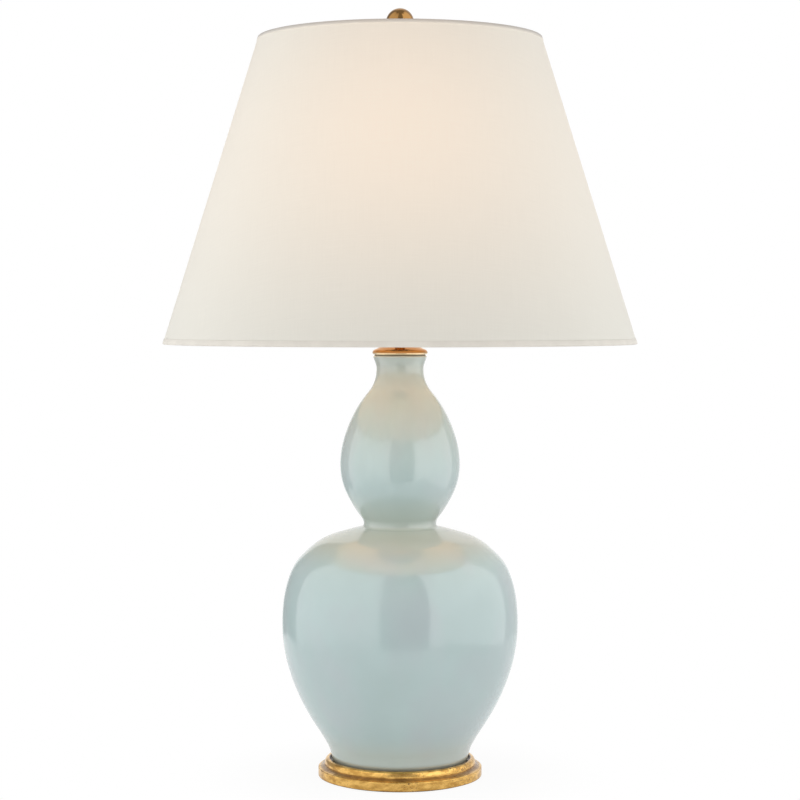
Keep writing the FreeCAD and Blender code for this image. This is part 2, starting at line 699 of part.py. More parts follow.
def set_screw_rod(radius):
    """A rod through the socket's hub from the pipe outwards, at the rear."""
    middle = SADDLE_TOP + SOCKET_HUB_HEIGHT / 2
    start = Vec(0, PIPE_RADIUS + CLOSE_GAP, middle)
    return rod(radius, start, Vec(0, SOCKET_HUB_RADIUS + SET_SCREW_STAND, middle))


def cap_set_screw():
    """The screw that keeps the socket from turning on the pipe."""
    end = Vec(0, SOCKET_HUB_RADIUS + SET_SCREW_STAND, SADDLE_TOP + SOCKET_HUB_HEIGHT / 2)
    corner = Vec(2 * SET_SCREW_RADIUS, SLOT_DEPTH, SLOT_WIDTH / 2)
    return set_screw_rod(SET_SCREW_RADIUS).cut(block(end - corner, end + corner))


def socket_shell():
    """The upper half of the case, with a rolled bead, a rolled mouth and the switch hole."""
    inner = SHELL_RADIUS - SOCKET_WALL
    bead_z = SOCKET_CAP_TOP + SHELL_BEAD_RADIUS + CLOSE_GAP
    outline = Outline(inner, SHELL_BOTTOM)
    outline.line(SHELL_RADIUS, SHELL_BOTTOM)
    outline.line(SHELL_RADIUS, bead_z - SHELL_BEAD_RADIUS)
    outline.arc((SHELL_RADIUS + SHELL_BEAD_RADIUS, bead_z), (SHELL_RADIUS, bead_z + SHELL_BEAD_RADIUS))
    outline.bevel_to((SHELL_RADIUS, SOCKET_TOP), (inner, SOCKET_TOP), SOCKET_WALL / 2)
    return outline.turned().cut(switch_hole())


def switch_hole():
    """The hole at the front that the switch shaft comes out of."""
    start = Vec(0, -SHAFT_TIP, SWITCH_Z)
    return rod(SHAFT_RADIUS + SLIP_FIT, start, start - REARWARD * SOCKET_RADIUS)


def paper_liner():
    """The insulating sleeve between the case and the live parts."""
    outer = PAPER_RADIUS - CLOSE_GAP
    liner = tube(outer, PAPER_RADIUS - PAPER_THICK, SOCKET_CAP_TOP, SOCKET_TOP - PAPER_DROP)
    return liner.cut(switch_hole())


def insulator():
    """The moulded block that holds the screw shell, the switch and the terminals."""
    foot_radius = INSULATOR_RADIUS - INSULATOR_STEP
    step_z = INSULATOR_BOTTOM + INSULATOR_STEP
    outline = Outline(0, INSULATOR_BOTTOM)
    outline.line(foot_radius, INSULATOR_BOTTOM)
    outline.line(foot_radius, step_z)
    outline.line(INSULATOR_RADIUS, step_z)
    outline.line(INSULATOR_RADIUS, INSULATOR_TOP)
    outline.line(0, INSULATOR_TOP)
    body = outline.turned()
    start = Vec(0, -SHAFT_TIP + SLIP_FIT, SWITCH_Z)
    return body.cut(rod(SHAFT_RADIUS + RUNNING_FIT, start, start - REARWARD * SOCKET_RADIUS))


def terminal_screws():
    """The two wire screws under the insulator."""
    screws = []
    for side in (-1, 1):
        centre = Vec(side * TERMINAL_OFFSET, 0, INSULATOR_BOTTOM - TERMINAL_THICK)
        head = rod(TERMINAL_RADIUS, centre, centre + UP * TERMINAL_THICK)
        corner = Vec(TERMINAL_RADIUS, SLOT_WIDTH / 2, SLOT_DEPTH)
        screws.append(head.cut(block(centre - corner, centre + corner)))
    return Part.makeCompound(screws)


def screw_shell():
    """The threaded contact that the bulb's cap screws into."""
    outer = SCREW_BORE_RADIUS + SCREW_SHELL_WALL
    return tube(outer, SCREW_BORE_RADIUS, INSULATOR_TOP, SOCKET_TOP - SCREW_SHELL_DROP)


def centre_contact():
    """The contact leaf on the floor of the screw shell."""
    return tube(LEAF_RADIUS, 0, INSULATOR_TOP, CONTACT_BOTTOM)


def switch_shaft():
    """The shaft that turns in the insulator and carries the knob."""
    start = Vec(0, -SHAFT_TIP, SWITCH_Z)
    return rod(SHAFT_RADIUS, start, start - REARWARD * SHAFT_LENGTH)


def switch_knob():
    """A fluted knob, rounded at its outer end, on the switch shaft."""
    start = Vec(0, -SOCKET_RADIUS - KNOB_STAND, SWITCH_Z)
    end = start - REARWARD * KNOB_LENGTH
    knob = rod(KNOB_RADIUS, start, end)
    rim = [edge for edge in knob.Edges if edge.Closed and abs(edge.CenterOfMass.y - end.y) < 1e-6]
    knob = knob.makeChamfer(KNOB_RADIUS / 4, rim)
    for index in range(KNOB_FLUTES):
        angle = 2 * math.pi * index / KNOB_FLUTES
        side = Vec(KNOB_RADIUS * math.cos(angle), 0, KNOB_RADIUS * math.sin(angle))
        flute_start = start + side - REARWARD * KNOB_FLUTE_START
        knob = knob.cut(rod(KNOB_FLUTE_RADIUS, flute_start, end + side - REARWARD * OVERCUT))
    return knob.cut(switch_shaft())


# ---- Bulb ----
def bulb_glass():
    """A pear-shaped glass envelope with a thin wall."""
    widest_z = GLASS_TOP - GLASS_RADIUS
    throat = (GLASS_THROAT_RADIUS, SCREW_CAP_TOP, 90)
    flare = (GLASS_FLARE_RADIUS, SCREW_CAP_TOP + GLASS_FLARE_RISE, GLASS_FLARE_HEADING)
    widest = (GLASS_RADIUS, widest_z, 90)
    inner = [inset(row, GLASS_WALL) for row in (throat, flare, widest)]
    outline = Outline(GLASS_THROAT_RADIUS, SCREW_CAP_TOP)
    outline.stations([throat, flare, widest])
    outline.round_to((GLASS_RADIUS, GLASS_TOP), (0, GLASS_TOP))
    outline.line(0, GLASS_TOP - GLASS_WALL)
    outline.round_to((GLASS_RADIUS - GLASS_WALL, GLASS_TOP - GLASS_WALL), inner[2][:2])
    outline.stations(backwards(inner))
    return outline.turned()


def bulb_cap():
    """The bulb's metal screw cap, closed below round its contact."""
    inner_radius = SCREW_CAP_RADIUS - SCREW_CAP_WALL
    floor_z = SCREW_CAP_BOTTOM + SCREW_CAP_WALL
    outline = Outline(CONTACT_RADIUS, SCREW_CAP_BOTTOM)
    outline.line(SCREW_CAP_FOOT_RADIUS, SCREW_CAP_BOTTOM)
    outline.line(SCREW_CAP_RADIUS, SCREW_CAP_BOTTOM + SCREW_CAP_TAPER)
    outline.line(SCREW_CAP_RADIUS, SCREW_CAP_TOP)
    outline.line(inner_radius, SCREW_CAP_TOP)
    outline.line(inner_radius, floor_z + SCREW_CAP_TAPER)
    outline.line(SCREW_CAP_FOOT_RADIUS - SCREW_CAP_WALL, floor_z)
    outline.line(CONTACT_RADIUS, floor_z)
    return outline.turned()


def bulb_contact():
    """The insulating button and the contact under the bulb's cap."""
    button_top = SCREW_CAP_BOTTOM + CONTACT_NOSE
    outline = Outline(0, CONTACT_BOTTOM)
    outline.bevel_to((CONTACT_RADIUS, CONTACT_BOTTOM), (CONTACT_RADIUS, button_top), CONTACT_NOSE)
    outline.line(0, button_top)
    return outline.turned()


# ---- Shade ----
def on_slant(from_edge, depth, at_top):
    """A point at a distance along the slant from an edge of the shade, and a depth inside it."""
    radius = SHADE_TOP_RADIUS if at_top else SHADE_BOTTOM_RADIUS
    height = SHADE_TOP if at_top else SHADE_BOTTOM
    along = -from_edge if at_top else from_edge
    radius = radius - along * math.sin(SLOPE) - depth * math.cos(SLOPE)
    return (radius, height + along * math.cos(SLOPE) - depth * math.sin(SLOPE))


def cone_sheet(outer_depth, inner_depth, trim_bottom, trim_top):
    """A sheet rolled to the shade's cone, between two depths and two trimmed edges."""
    outline = Outline(*on_slant(trim_bottom, outer_depth, False))
    outline.line(*on_slant(trim_top, outer_depth, True))
    outline.line(*on_slant(trim_top, inner_depth, True))
    outline.line(*on_slant(trim_bottom, inner_depth, False))
    return outline.turned()


def shade_fabric():
    return cone_sheet(0, FABRIC_THICK, 0, 0)


def shade_liner():
    return cone_sheet(FABRIC_THICK, SHEET_THICK, 0, 0)


def shade_seam():
    """The turned strip that covers the fabric's joint at the back."""
    strip = cone_sheet(-SEAM_THICK, 0, TAPE_FACE, TAPE_FACE)
    low = Vec(-SEAM_WIDTH / 2, 0, SHADE_BOTTOM)
    high = Vec(SEAM_WIDTH / 2, SHADE_BOTTOM_RADIUS + OVERCUT, SHADE_TOP)
    return strip.common(block(low, high))


def ring_centre(at_top):
    return on_slant(RING_INSET, SHEET_THICK + RING_WIRE_RADIUS + CLOSE_GAP / 2, at_top)


def ring_torus(at_top, radius):
    ring_radius, height = ring_centre(at_top)
    return Part.makeTorus(ring_radius, radius, Vec(0, 0, height), UP)


def bottom_ring():
    return ring_torus(False, RING_WIRE_RADIUS)


def edge_tape(at_top):
    """Fabric tape that folds over the shade's edge and round the ring's wire."""
    wire = RING_WIRE_RADIUS + 2 * CLOSE_GAP
    ring_low = RING_INSET - wire
    ring_high = RING_INSET + wire
    ring_deep = SHEET_THICK + 2 * wire
    outside = TAPE_THICK * math.sqrt(0.5)

    def at(from_edge, depth):
        return on_slant(from_edge, depth, at_top)

    outline = Outline(*at(TAPE_FACE, 0))
    outline.line(*at(TAPE_FACE, -TAPE_THICK))
    outline.line(*at(outside - TAPE_THICK, -TAPE_THICK))
    outline.line(*at(-TAPE_THICK, outside - TAPE_THICK))
    outline.line(*at(-TAPE_THICK, SHEET_THICK))
    outline.line(*at(ring_low, ring_deep - TAPE_FOLD + outside))
    outline.line(*at(ring_low + TAPE_FOLD, ring_deep + TAPE_THICK))
    outline.line(*at(ring_high - TAPE_FOLD, ring_deep + TAPE_THICK))
    outline.line(*at(ring_high + TAPE_THICK, ring_deep - TAPE_FOLD))
    outline.line(*at(ring_high + TAPE_THICK, SHEET_THICK + TAPE_THICK))
    outline.line(*at(TAPE_TAIL, SHEET_THICK + TAPE_THICK))
    outline.line(*at(TAPE_TAIL, SHEET_THICK))
    outline.line(*at(ring_high, SHEET_THICK))
    outline.line(*at(ring_high, ring_deep - TAPE_FOLD))
    outline.line(*at(ring_high - TAPE_FOLD, ring_deep))
    outline.line(*at(ring_low + TAPE_FOLD, ring_deep))
    outline.line(*at(ring_low, ring_deep - TAPE_FOLD))
    outline.line(*at(ring_low, SHEET_THICK))
    outline.line(*at(0, SHEET_THICK))
    outline.line(*at(0, 0))
    return outline.turned()


def top_tape():
    """The top edge's tape, notched where the spider's arms leave the ring."""
    ring_radius, ring_z = ring_centre(True)
    notch = Vec(ring_radius, 0, ring_z)
    rods = rod(RING_WIRE_RADIUS + 2 * CLOSE_GAP, notch, notch - ACROSS * TAPE_TAIL)
    return edge_tape(True).cut(round_the_arms(rods))


def round_the_arms(shape):
    """A shape that lies along +X, repeated at each of the spider's arms."""
    turned = []
    for index in range(SPIDER_ARMS):
        copy = shape.copy()
        copy.rotate(Vec(0, 0, 0), UP, 90 + index * 360 / SPIDER_ARMS)
        turned.append(copy)
    return Part.makeCompound(turned)


def spider_frame():
    """The welded top frame: a hub washer, arms that drop to it, and the top ring."""
    ring_radius, ring_z = ring_centre(True)
    frame = tube(HUB_RADIUS, STUD_RADIUS + RUNNING_FIT, HARP_TOP, HUB_TOP)
    path = Outline(ring_radius, ring_z)
    path.line(ARM_DROP_END, ring_z)
    path.sweep_to(180, (ARM_DROP_START, ARM_Z), 180)
    path.line(ARM_START, ARM_Z)
    arms = round_the_arms(swept_wire(path.wire(), RING_WIRE_RADIUS))
    return frame.fuse(arms.Solids).fuse(ring_torus(True, RING_WIRE_RADIUS))


# ---- Finial ----
def finial():
    """A ball on a short stem and collar, bored for the stud."""
    centre_z = BALL_BOTTOM + BALL_RADIUS
    collar_top = HUB_TOP + FINIAL_COLLAR_HEIGHT
    meet = BALL_RADIUS - math.sqrt(BALL_RADIUS ** 2 - FINIAL_STEM_RADIUS ** 2)
    stem_top = BALL_BOTTOM + meet
    bore_top = HUB_TOP + FINIAL_BORE_DEPTH
    collar = (FINIAL_COLLAR_RADIUS, collar_top)
    outline = Outline(STUD_RADIUS + RUNNING_FIT, HUB_TOP)
    outline.line(FINIAL_COLLAR_RADIUS, HUB_TOP)
    outline.bevel_to(collar, (FINIAL_STEM_RADIUS, collar_top), FINIAL_CHAMFER)
    middle = (FINIAL_STEM_WAIST_RADIUS, (collar_top + stem_top) / 2)
    outline.arc(middle, (FINIAL_STEM_RADIUS, stem_top))
    outline.arc((BALL_RADIUS, centre_z), (0, centre_z + BALL_RADIUS))
    outline.line(0, bore_top)
    outline.line(STUD_RADIUS + RUNNING_FIT, bore_top)
    return outline.turned()


write("felt_pad", felt_pad())
write("gilt_base", gilt_base())
write("cord_bushing", cord_bushing())
write("bottom_washer", bottom_washer())
write("bottom_nut", bottom_nut())
write("threaded_pipe", threaded_pipe())
write("foot_gasket", foot_gasket())
write("vase_body", vase_body())
write("lip_gasket", lip_gasket())
write("vase_cap", vase_cap())
write("neck_tube", neck_tube())
write("harp_saddle", harp_saddle())
write("harp_bow", harp_bow())
write("harp_stud", harp_stud())
write("ferrule_left", harp_ferrule(-1))
write("ferrule_right", harp_ferrule(1))
write("socket_cap", socket_cap())
write("cap_set_screw", cap_set_screw())
write("socket_shell", socket_shell())
write("paper_liner", paper_liner())
write("insulator", insulator())
write("terminal_screws", terminal_screws())
write("screw_shell", screw_shell())
write("centre_contact", centre_contact())
write("switch_shaft", switch_shaft())
write("switch_knob", switch_knob())
write("bulb_glass", bulb_glass())
write("bulb_cap", bulb_cap())
write("bulb_contact", bulb_contact())
write("shade_fabric", shade_fabric())
write("shade_liner", shade_liner())
write("shade_seam", shade_seam())
write("bottom_ring", bottom_ring())
write("top_tape", top_tape())
write("bottom_tape", edge_tape(False))
write("spider_frame", spider_frame())
write("finial", finial())
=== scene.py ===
import math

import bmesh
import bpy
from bpy.props import FloatProperty, FloatVectorProperty, IntProperty, PointerProperty
from mathutils import Matrix, Vector


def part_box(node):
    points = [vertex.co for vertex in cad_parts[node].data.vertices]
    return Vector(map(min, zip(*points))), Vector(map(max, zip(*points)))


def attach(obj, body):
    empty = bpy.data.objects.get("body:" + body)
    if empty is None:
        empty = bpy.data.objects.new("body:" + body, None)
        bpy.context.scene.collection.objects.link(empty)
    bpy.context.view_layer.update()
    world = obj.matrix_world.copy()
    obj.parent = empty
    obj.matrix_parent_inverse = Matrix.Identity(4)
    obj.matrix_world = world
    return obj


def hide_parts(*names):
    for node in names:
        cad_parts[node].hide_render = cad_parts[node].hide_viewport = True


bl_info = {
    "name": "Double Gourd Table Lamp",
    "version": (1, 0, 0),
    "blender": (4, 5, 0),
    "location": "View3D > Sidebar > Lamp",
    "description": "Builds a glazed double gourd lamp with its gilded base, shade, harp, socket and bulb",
    "category": "Object",
}

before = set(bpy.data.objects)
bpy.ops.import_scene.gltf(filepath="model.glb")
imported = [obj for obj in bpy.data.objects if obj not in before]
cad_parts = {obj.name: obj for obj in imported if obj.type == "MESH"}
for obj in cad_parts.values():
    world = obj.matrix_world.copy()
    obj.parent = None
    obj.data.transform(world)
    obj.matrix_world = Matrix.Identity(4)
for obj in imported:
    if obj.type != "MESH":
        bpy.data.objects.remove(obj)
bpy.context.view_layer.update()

ORIGIN = Vector((0, 0, 0))
UP = Vector((0, 0, 1))
FULL_TURN = 2 * math.pi
QUARTER_TURN = math.pi / 2
WELD = 1e-6
ARC_STEP = math.radians(5)
LONGEST_STEP = 0.006
FINE_STEPS = 48
SLANT_PARTS = 24
HUB_THICKNESS = 0.0015
BLACK = (0.0, 0.0, 0.0)
WHITE = (1.0, 1.0, 1.0)

# Play round a part, in metres: loose in a hole, screwed on a thread, or pressed on a pipe.
LOOSE = 0.0003
SCREWED = 0.00007
PRESSED = 0.00005

# Where the CAD pieces stand, in metres.
BASE_LOW, BASE_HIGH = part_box("gilt_base")
VASE_LOW, VASE_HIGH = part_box("vase_body")
CAP_LOW, CAP_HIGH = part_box("vase_cap")
BOW_LOW, BOW_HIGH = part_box("harp_bow")
GLASS_LOW, GLASS_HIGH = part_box("bulb_glass")
SHADE_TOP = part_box("shade_fabric")[1].z

# The gourd's outline: radius, height above its foot, and the wall's heading in degrees above outward.
GOURD = {
    "foot": (0.0656, 0.0, 82),
    "flare": (0.0703, 0.0158, 61),
    "haunch": (0.0895, 0.0468, 60),
    "belly": (0.1141, 0.1332, 90),
    "shoulder": (0.1053, 0.1818, 113),
    "turn": (0.0840, 0.2068, 141),
    "brow": (0.0440, 0.2230, 165),
    "waist": (0.0352, 0.2274, 90),
    "under": (0.0372, 0.2336, 52),
    "bulb": (0.0580, 0.2848, 90),
    "crown": (0.0450, 0.3338, 117),
    "neck": (0.0228, 0.3771, 90),
    "lip": (0.0260, 0.3889, 70),
}


# ---- Sizes and finishes that a user would change ----
def length(name, description, default):
    """A length in metres for a panel."""
    return FloatProperty(name=name, description=description, default=default, min=0.0, unit="LENGTH")


def count(name, description, default):
    """A whole number for a panel."""
    return IntProperty(name=name, description=description, default=default, min=3)


def level(name, description, default):
    """A brightness for a panel."""
    return FloatProperty(name=name, description=description, default=default, min=0.0)


def colour(name, description, *default):
    """A colour for a panel."""
    return FloatVectorProperty(name=name, description=description, default=default, size=3,
                               min=0.0, max=1.0, subtype="COLOR")


class LampBodySizes(bpy.types.PropertyGroup):
    """Sizes of the vase and its base."""
    round_steps: count("Steps", "Faces round a large turning", 180)
    vase_wall: length("Vase wall", "Thickness of the ceramic", 0.005)
    mouth_radius: length("Mouth", "Radius of the vase's mouth", 0.0181)
    lip_round: length("Lip", "Rounding of the vase's lip", 0.0018)
    plinth_height: length("Plinth", "Height of the base's plinth", 0.0087)
    wash_rise: length("Wash", "Rise of the hollow slope from plinth to bead", 0.0019)
    bead_foot: length("Bead foot", "Radius at the lower edge of the bead", 0.0727)
    bead_crown: length("Bead crown", "Radius at the top of the bead", 0.0692)
    seat_radius: length("Seat", "Radius of the recess for the vase", 0.0676)
    seat_depth: length("Seat depth", "Depth of the recess for the vase", 0.0025)
    eased_edge: length("Eased edge", "Rounding of the base's edges", 0.0009)
    inlet_height: length("Inlet height", "Height of the cord inlet's axis", 0.0056)


class LampFittingSizes(bpy.types.PropertyGroup):
    """Sizes of the harp, the socket and the bulb."""
    small_steps: count("Steps", "Faces round a small turning", 64)
    wire_sides: count("Wire sides", "Faces round a wire", 16)
    wire_radius: length("Harp wire", "Radius of the harp's wire", 0.0016)
    leg_offset: length("Harp leg", "Distance of a harp leg from the axis", 0.0330)
    pad_width: length("Harp pad", "Width of the flat at the top of the harp", 0.0090)
    stud_radius: length("Stud", "Radius of the stud that carries the shade", 0.0031)
    stud_pitch: length("Stud thread", "Pitch of the stud's thread", 0.00094)
    pipe_radius: length("Pipe", "Radius of the threaded pipe", 0.0048)
    sheet_metal: length("Sheet metal", "Thickness of the socket's brass", 0.0007)
    screw_radius: length("Screw cap", "Radius of the bulb's screw cap", 0.0130)
    screw_pitch: length("Screw pitch", "Pitch of the bulb's thread", 0.00363)
    knob_radius: length("Knob", "Radius of the switch knob", 0.0046)
    knob_flutes: count("Flutes", "Flutes round the switch knob", 10)


class LampShadeSizes(bpy.types.PropertyGroup):
    """Sizes of the shade and its wires."""
    bottom_radius: length("Bottom radius", "Radius of the lower edge", 0.2286)
    top_radius: length("Top radius", "Radius of the upper edge", 0.1375)
    height: length("Height", "Height of the shade", 0.2951)
    cloth: length("Cloth", "Thickness of the cloth", 0.0006)
    lining: length("Lining", "Thickness of the stiff lining", 0.0006)
    tape: length("Tape", "Thickness of the edge tape", 0.0004)
    tape_face: length("Tape face", "How far the tape shows at the bottom", 0.0050)
    tape_face_top: length("Top tape face", "How far the tape shows at the top", 0.0034)
    tape_tail: length("Tape tail", "How far the tape runs inside", 0.0070)
    seam_width: length("Seam", "Width of the strip over the cloth's joint", 0.0120)
    ring_radius: length("Ring wire", "Radius of the shade's wires", 0.0015)
    ring_inset: length("Ring inset", "Distance of a ring from the edge", 0.0024)
    thread: length("Thread", "Pitch of the cloth's threads", 0.0005)


class LampFinishes(bpy.types.PropertyGroup):
    """Colours of the lamp's finishes."""
    glaze: colour("Glaze", "Glaze where it is thick", 0.420, 0.553, 0.557)
    glaze_thin_and_reflected: colour("Thin glaze and reflection", "Glaze thin at the lip, and painted warm reflection at the foot and waist", 0.560, 0.560, 0.450)
    painted_lamplight_reflection: colour("Painted lamplight reflection", "Painted reflection of the lamplit shade on the shoulder and neck", 0.470, 0.485, 0.400)
    gold: colour("Gold leaf", "The gold leaf", 0.815, 0.500, 0.148)
    bole_and_shade: colour("Bole", "Clay and glue under the leaf, and the painted shade's colour", 0.110, 0.045, 0.020)
    brass: colour("Brass", "Aged brass", 0.500, 0.265, 0.085)
    painted_highlight: colour("Brass highlight", "Painted highlight on the brass", 0.900, 0.740, 0.480)
    tarnish: colour("Tarnish", "Brass where it has dulled", 0.190, 0.090, 0.030)
    cloth: colour("Shade cloth", "The shade's cloth", 0.785, 0.772, 0.708)
    trim: colour("Shade trim", "The shade's tape", 0.800, 0.768, 0.705)
    glow: colour("Lamp glow", "Light that comes through the shade", 1.000, 0.560, 0.280)
    lamplight: colour("Lamplight", "Light inside the shade", 1.000, 0.600, 0.330)
    glow_height: length("Glow height", "Height at which the shade glows most", 0.620)
    glow_reach: length("Glow reach", "How far up and down the glow fades", 0.240)


class LampStudio(bpy.types.PropertyGroup):
    """The camera and the lights."""
    camera_distance: length("Camera distance", "Distance of the camera from the axis", 2.040)
    camera_height: length("Camera height", "Height of the camera", 0.4446)
    lens: FloatProperty(name="Lens", description="Focal length", default=94.66, min=1.0, unit="CAMERA")
    rise: FloatProperty(name="Rise", description="Upward shift of the view", default=-0.1046)
    panel_light: level("Panels", "Brightness of the side panels", 1.17)
    fill_light: level("Fill", "Brightness of the front fill", 1.36)
    rear_light: level("Rear fill", "Brightness of the rear fill", 1.10)
    panel_distance: length("Panel distance", "Distance of the side panels", 0.90)
    panel_low: length("Panel foot", "Height of the side panels' lower edge", 0.05)
    panel_top: length("Panel top", "Height of the side panels' upper edge", 1.40)
    ceiling: length("Ceiling", "Height of the card overhead", 2.20)
    ambient: level("Ambient", "Brightness of the light from all round", 0.20)
    screen: level("Screens", "Brightness of the screens at the sides", 1.2)
    card: level("Card", "Brightness of the gap between the screens", 0.42)
    bulb_light: level("Bulb", "Brightness of the lit bulb", 0.42)
    lining_light: level("Lining", "Brightness of the lining", 0.62)


# ---- Drawing with bmesh ----
def toward(heading):
    """The direction in the XZ plane at a heading in degrees, from outward round to up."""
    angle = math.radians(heading)
    return Vector((math.cos(angle), 0, math.sin(angle)))


def heading_of(way):
    """The heading in degrees of a direction in the XZ plane."""
    return math.degrees(math.atan2(way.z, way.x))


def lined(stations, depth):
    """The inner side of a wall, at a depth behind its stations, followed back."""
    inner = []
    for radius, height, heading in reversed(stations):
        angle = math.radians(heading)
        inner.append((radius - depth * math.sin(angle), height + depth * math.cos(angle), heading + 180))
    return inner


class Trail:
    """What a point, or a ring of wire, leaves behind it as it moves in the XZ plane."""

    def __init__(self, x, z, wire=None, heading=90, sides=16):
        self.mesh = bmesh.new()
        self.here = Vector((x, 0, z))
        if wire:
            square = UP.rotation_difference(toward(heading)).to_matrix().to_4x4()
            ring = bmesh.ops.create_circle(self.mesh, cap_ends=True, segments=sides, radius=wire,
                                           matrix=Matrix.Translation(self.here) @ square)
            self.front = ring["verts"] + self.mesh.edges[:]
        else:
            self.front = [self.mesh.verts.new(self.here)]
        self.first = self.front[0]

    def grow(self, **way):
        """Moves the front along, and keeps what it has come to."""
        grown = bmesh.ops.spin(self.mesh, geom=self.front, axis=(0, -1, 0), **way)["geom_last"]
        self.front = [part for part in grown if not isinstance(part, bmesh.types.BMFace)]

    def line(self, x, z, parts=1):
        """Straight to a point."""
        end = Vector((x, 0, z))
        self.grow(cent=self.here, dvec=(end - self.here) / parts, angle=0, steps=parts)
        self.here = end
        return self

    def bend(self, heading, x, z):
        """A round stretch that leaves at a heading and ends at a point."""
        chord = Vector((x, 0, z)) - self.here
        left = toward(heading + 90)
        turn = 2 * math.atan2(chord.dot(left), chord.dot(toward(heading)))
        if abs(turn) < math.radians(0.05):
            return self.line(x, z)
        reach = chord.length_squared / (2 * chord.dot(left))
        steps = math.ceil(max(abs(turn) / ARC_STEP, abs(turn * reach) / LONGEST_STEP))
        self.grow(cent=self.here + left * reach, angle=turn, steps=steps)
        self.here += chord
        return self

    def sweep(self, heading, x, z, end_heading):
        """Two tangent round stretches that leave at one heading and arrive at another."""
        end = Vector((x, 0, z))
        leave = toward(heading)
        arrive = toward(end_heading)
        chord = end - self.here
        along = chord.dot(leave + arrive)
        spread = 2 * (1 - leave.dot(arrive))
        if spread < WELD:
            leg = chord.length_squared / (4 * chord.dot(arrive))
        else:
            leg = (math.sqrt(along ** 2 + spread * chord.length_squared) - along) / spread
        corner = self.here + leave * leg
        end_corner = end - arrive * leg
        joint = (corner + end_corner) / 2
        self.bend(heading, joint.x, joint.z)
        return self.bend(heading_of(end_corner - corner), x, z)

    def round_corner(self, x, z, end_x, end_z, size):
        """Straight to a corner, round it, and straight on to a point."""
        corner = Vector((x, 0, z))
        end = Vector((end_x, 0, end_z))
        before = corner + (self.here - corner).normalized() * size
        after = corner + (end - corner).normalized() * size
        heading = heading_of(corner - self.here)
        if (before - self.here).length > WELD:
            self.line(before.x, before.z)
        self.bend(heading, after.x, after.z)
        return self if (end - after).length < WELD else self.line(end_x, end_z)

    def through(self, stations):
        """Round stretches through stations of radius, height and heading; the first is here."""
        for (_, _, heading), station in zip(stations[:-1], stations[1:]):
            self.sweep(heading, *station)
        return self

    def along(self, *stops):
        """Stops of two numbers are straight runs, of three bends, of four sweeps and of five corners."""
        ways = {2: self.line, 3: self.bend, 4: self.sweep, 5: self.round_corner}
        for stop in stops:
            ways[len(stop)](*stop)
        return self

    def closed(self):
        """The outline joined back to its first point."""
        tip = self.front[0]
        if (tip.co - self.first.co).length > WELD:
            self.mesh.edges.new((tip, self.first))
        return self.mesh

    def turned(self, steps, x=0.0):
        """The outline turned about an upright axis, closed first where it starts away from it."""
        if abs(self.first.co.x - x) > WELD:
            self.closed()
        return spun(self.mesh, steps, x)

    def capped(self):
        """The wire closed at its end."""
        bmesh.ops.contextual_create(self.mesh, geom=self.front)
        return self.mesh


def spun(mesh, steps, x=0.0):
    """A shape turned once about an upright axis."""
    bmesh.ops.spin(mesh, geom=mesh.verts[:] + mesh.edges[:], cent=(x, 0, 0), axis=UP, angle=FULL_TURN,
                   steps=steps, use_merge=True)
    return mesh


def rotated(mesh, angle, axis):
    """A shape turned about an axis through the origin."""
    bmesh.ops.rotate(mesh, verts=mesh.verts, cent=ORIGIN, matrix=Matrix.Rotation(angle, 3, axis))
    return mesh


def upright_ring(x, z):
    """The place of a wire's ring that a turn about the axis carries round."""
    return Matrix.Translation((x, 0, z)) @ Matrix.Rotation(QUARTER_TURN, 4, "X")


def helix(radius, bottom, height, pitch, ridge, steps, sides):
    """A ridge of round section wound up an upright axis, as on a rolled thread."""
    mesh = bmesh.new()
    turns = height / pitch
    ring = bmesh.ops.create_circle(mesh, cap_ends=True, segments=sides, radius=ridge,
                                   matrix=upright_ring(radius, bottom))
    wound = bmesh.ops.spin(mesh, geom=ring["verts"] + mesh.edges[:], cent=ORIGIN, axis=UP,
                           angle=FULL_TURN * turns, steps=round(steps * turns),
                           dvec=(0, 0, pitch / steps))["geom_last"]
    bmesh.ops.contextual_create(mesh, geom=[part for part in wound if isinstance(part, bmesh.types.BMEdge)])
    return mesh


def eased(mesh, edges, size, segments):
    """Edges rounded off."""
    bmesh.ops.bevel(mesh, geom=edges, offset=size, affect="EDGES", segments=segments, profile=0.5,
                    material=-1)


def joined(whole, *meshes):
    """Several bmeshes as one."""
    for mesh in meshes:
        loose = bpy.data.meshes.new("loose")
        mesh.to_mesh(loose)
        mesh.free()
        whole.from_mesh(loose)
        bpy.data.meshes.remove(loose)
    return whole


def placed(name, shape):
    """A bmesh as an object in the scene."""
    mesh = bpy.data.meshes.new(name)
    shape.to_mesh(mesh)
    shape.free()
    obj = bpy.data.objects.new(name, mesh)
    bpy.context.scene.collection.objects.link(obj)
    return obj


def piece(name, shape, finish, body, node, crease=35):
    """A piece of the lamp from a bmesh, on its body in place of a CAD node."""
    bmesh.ops.remove_doubles(shape, verts=shape.verts, dist=WELD)
    bmesh.ops.recalc_face_normals(shape, faces=shape.faces)
    obj = placed(name, shape)
    obj.data.shade_smooth()
    obj.data.set_sharp_from_angle(angle=math.radians(crease))
    obj.data.materials.append(finish)
    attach(obj, body)
    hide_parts(node)
    return obj


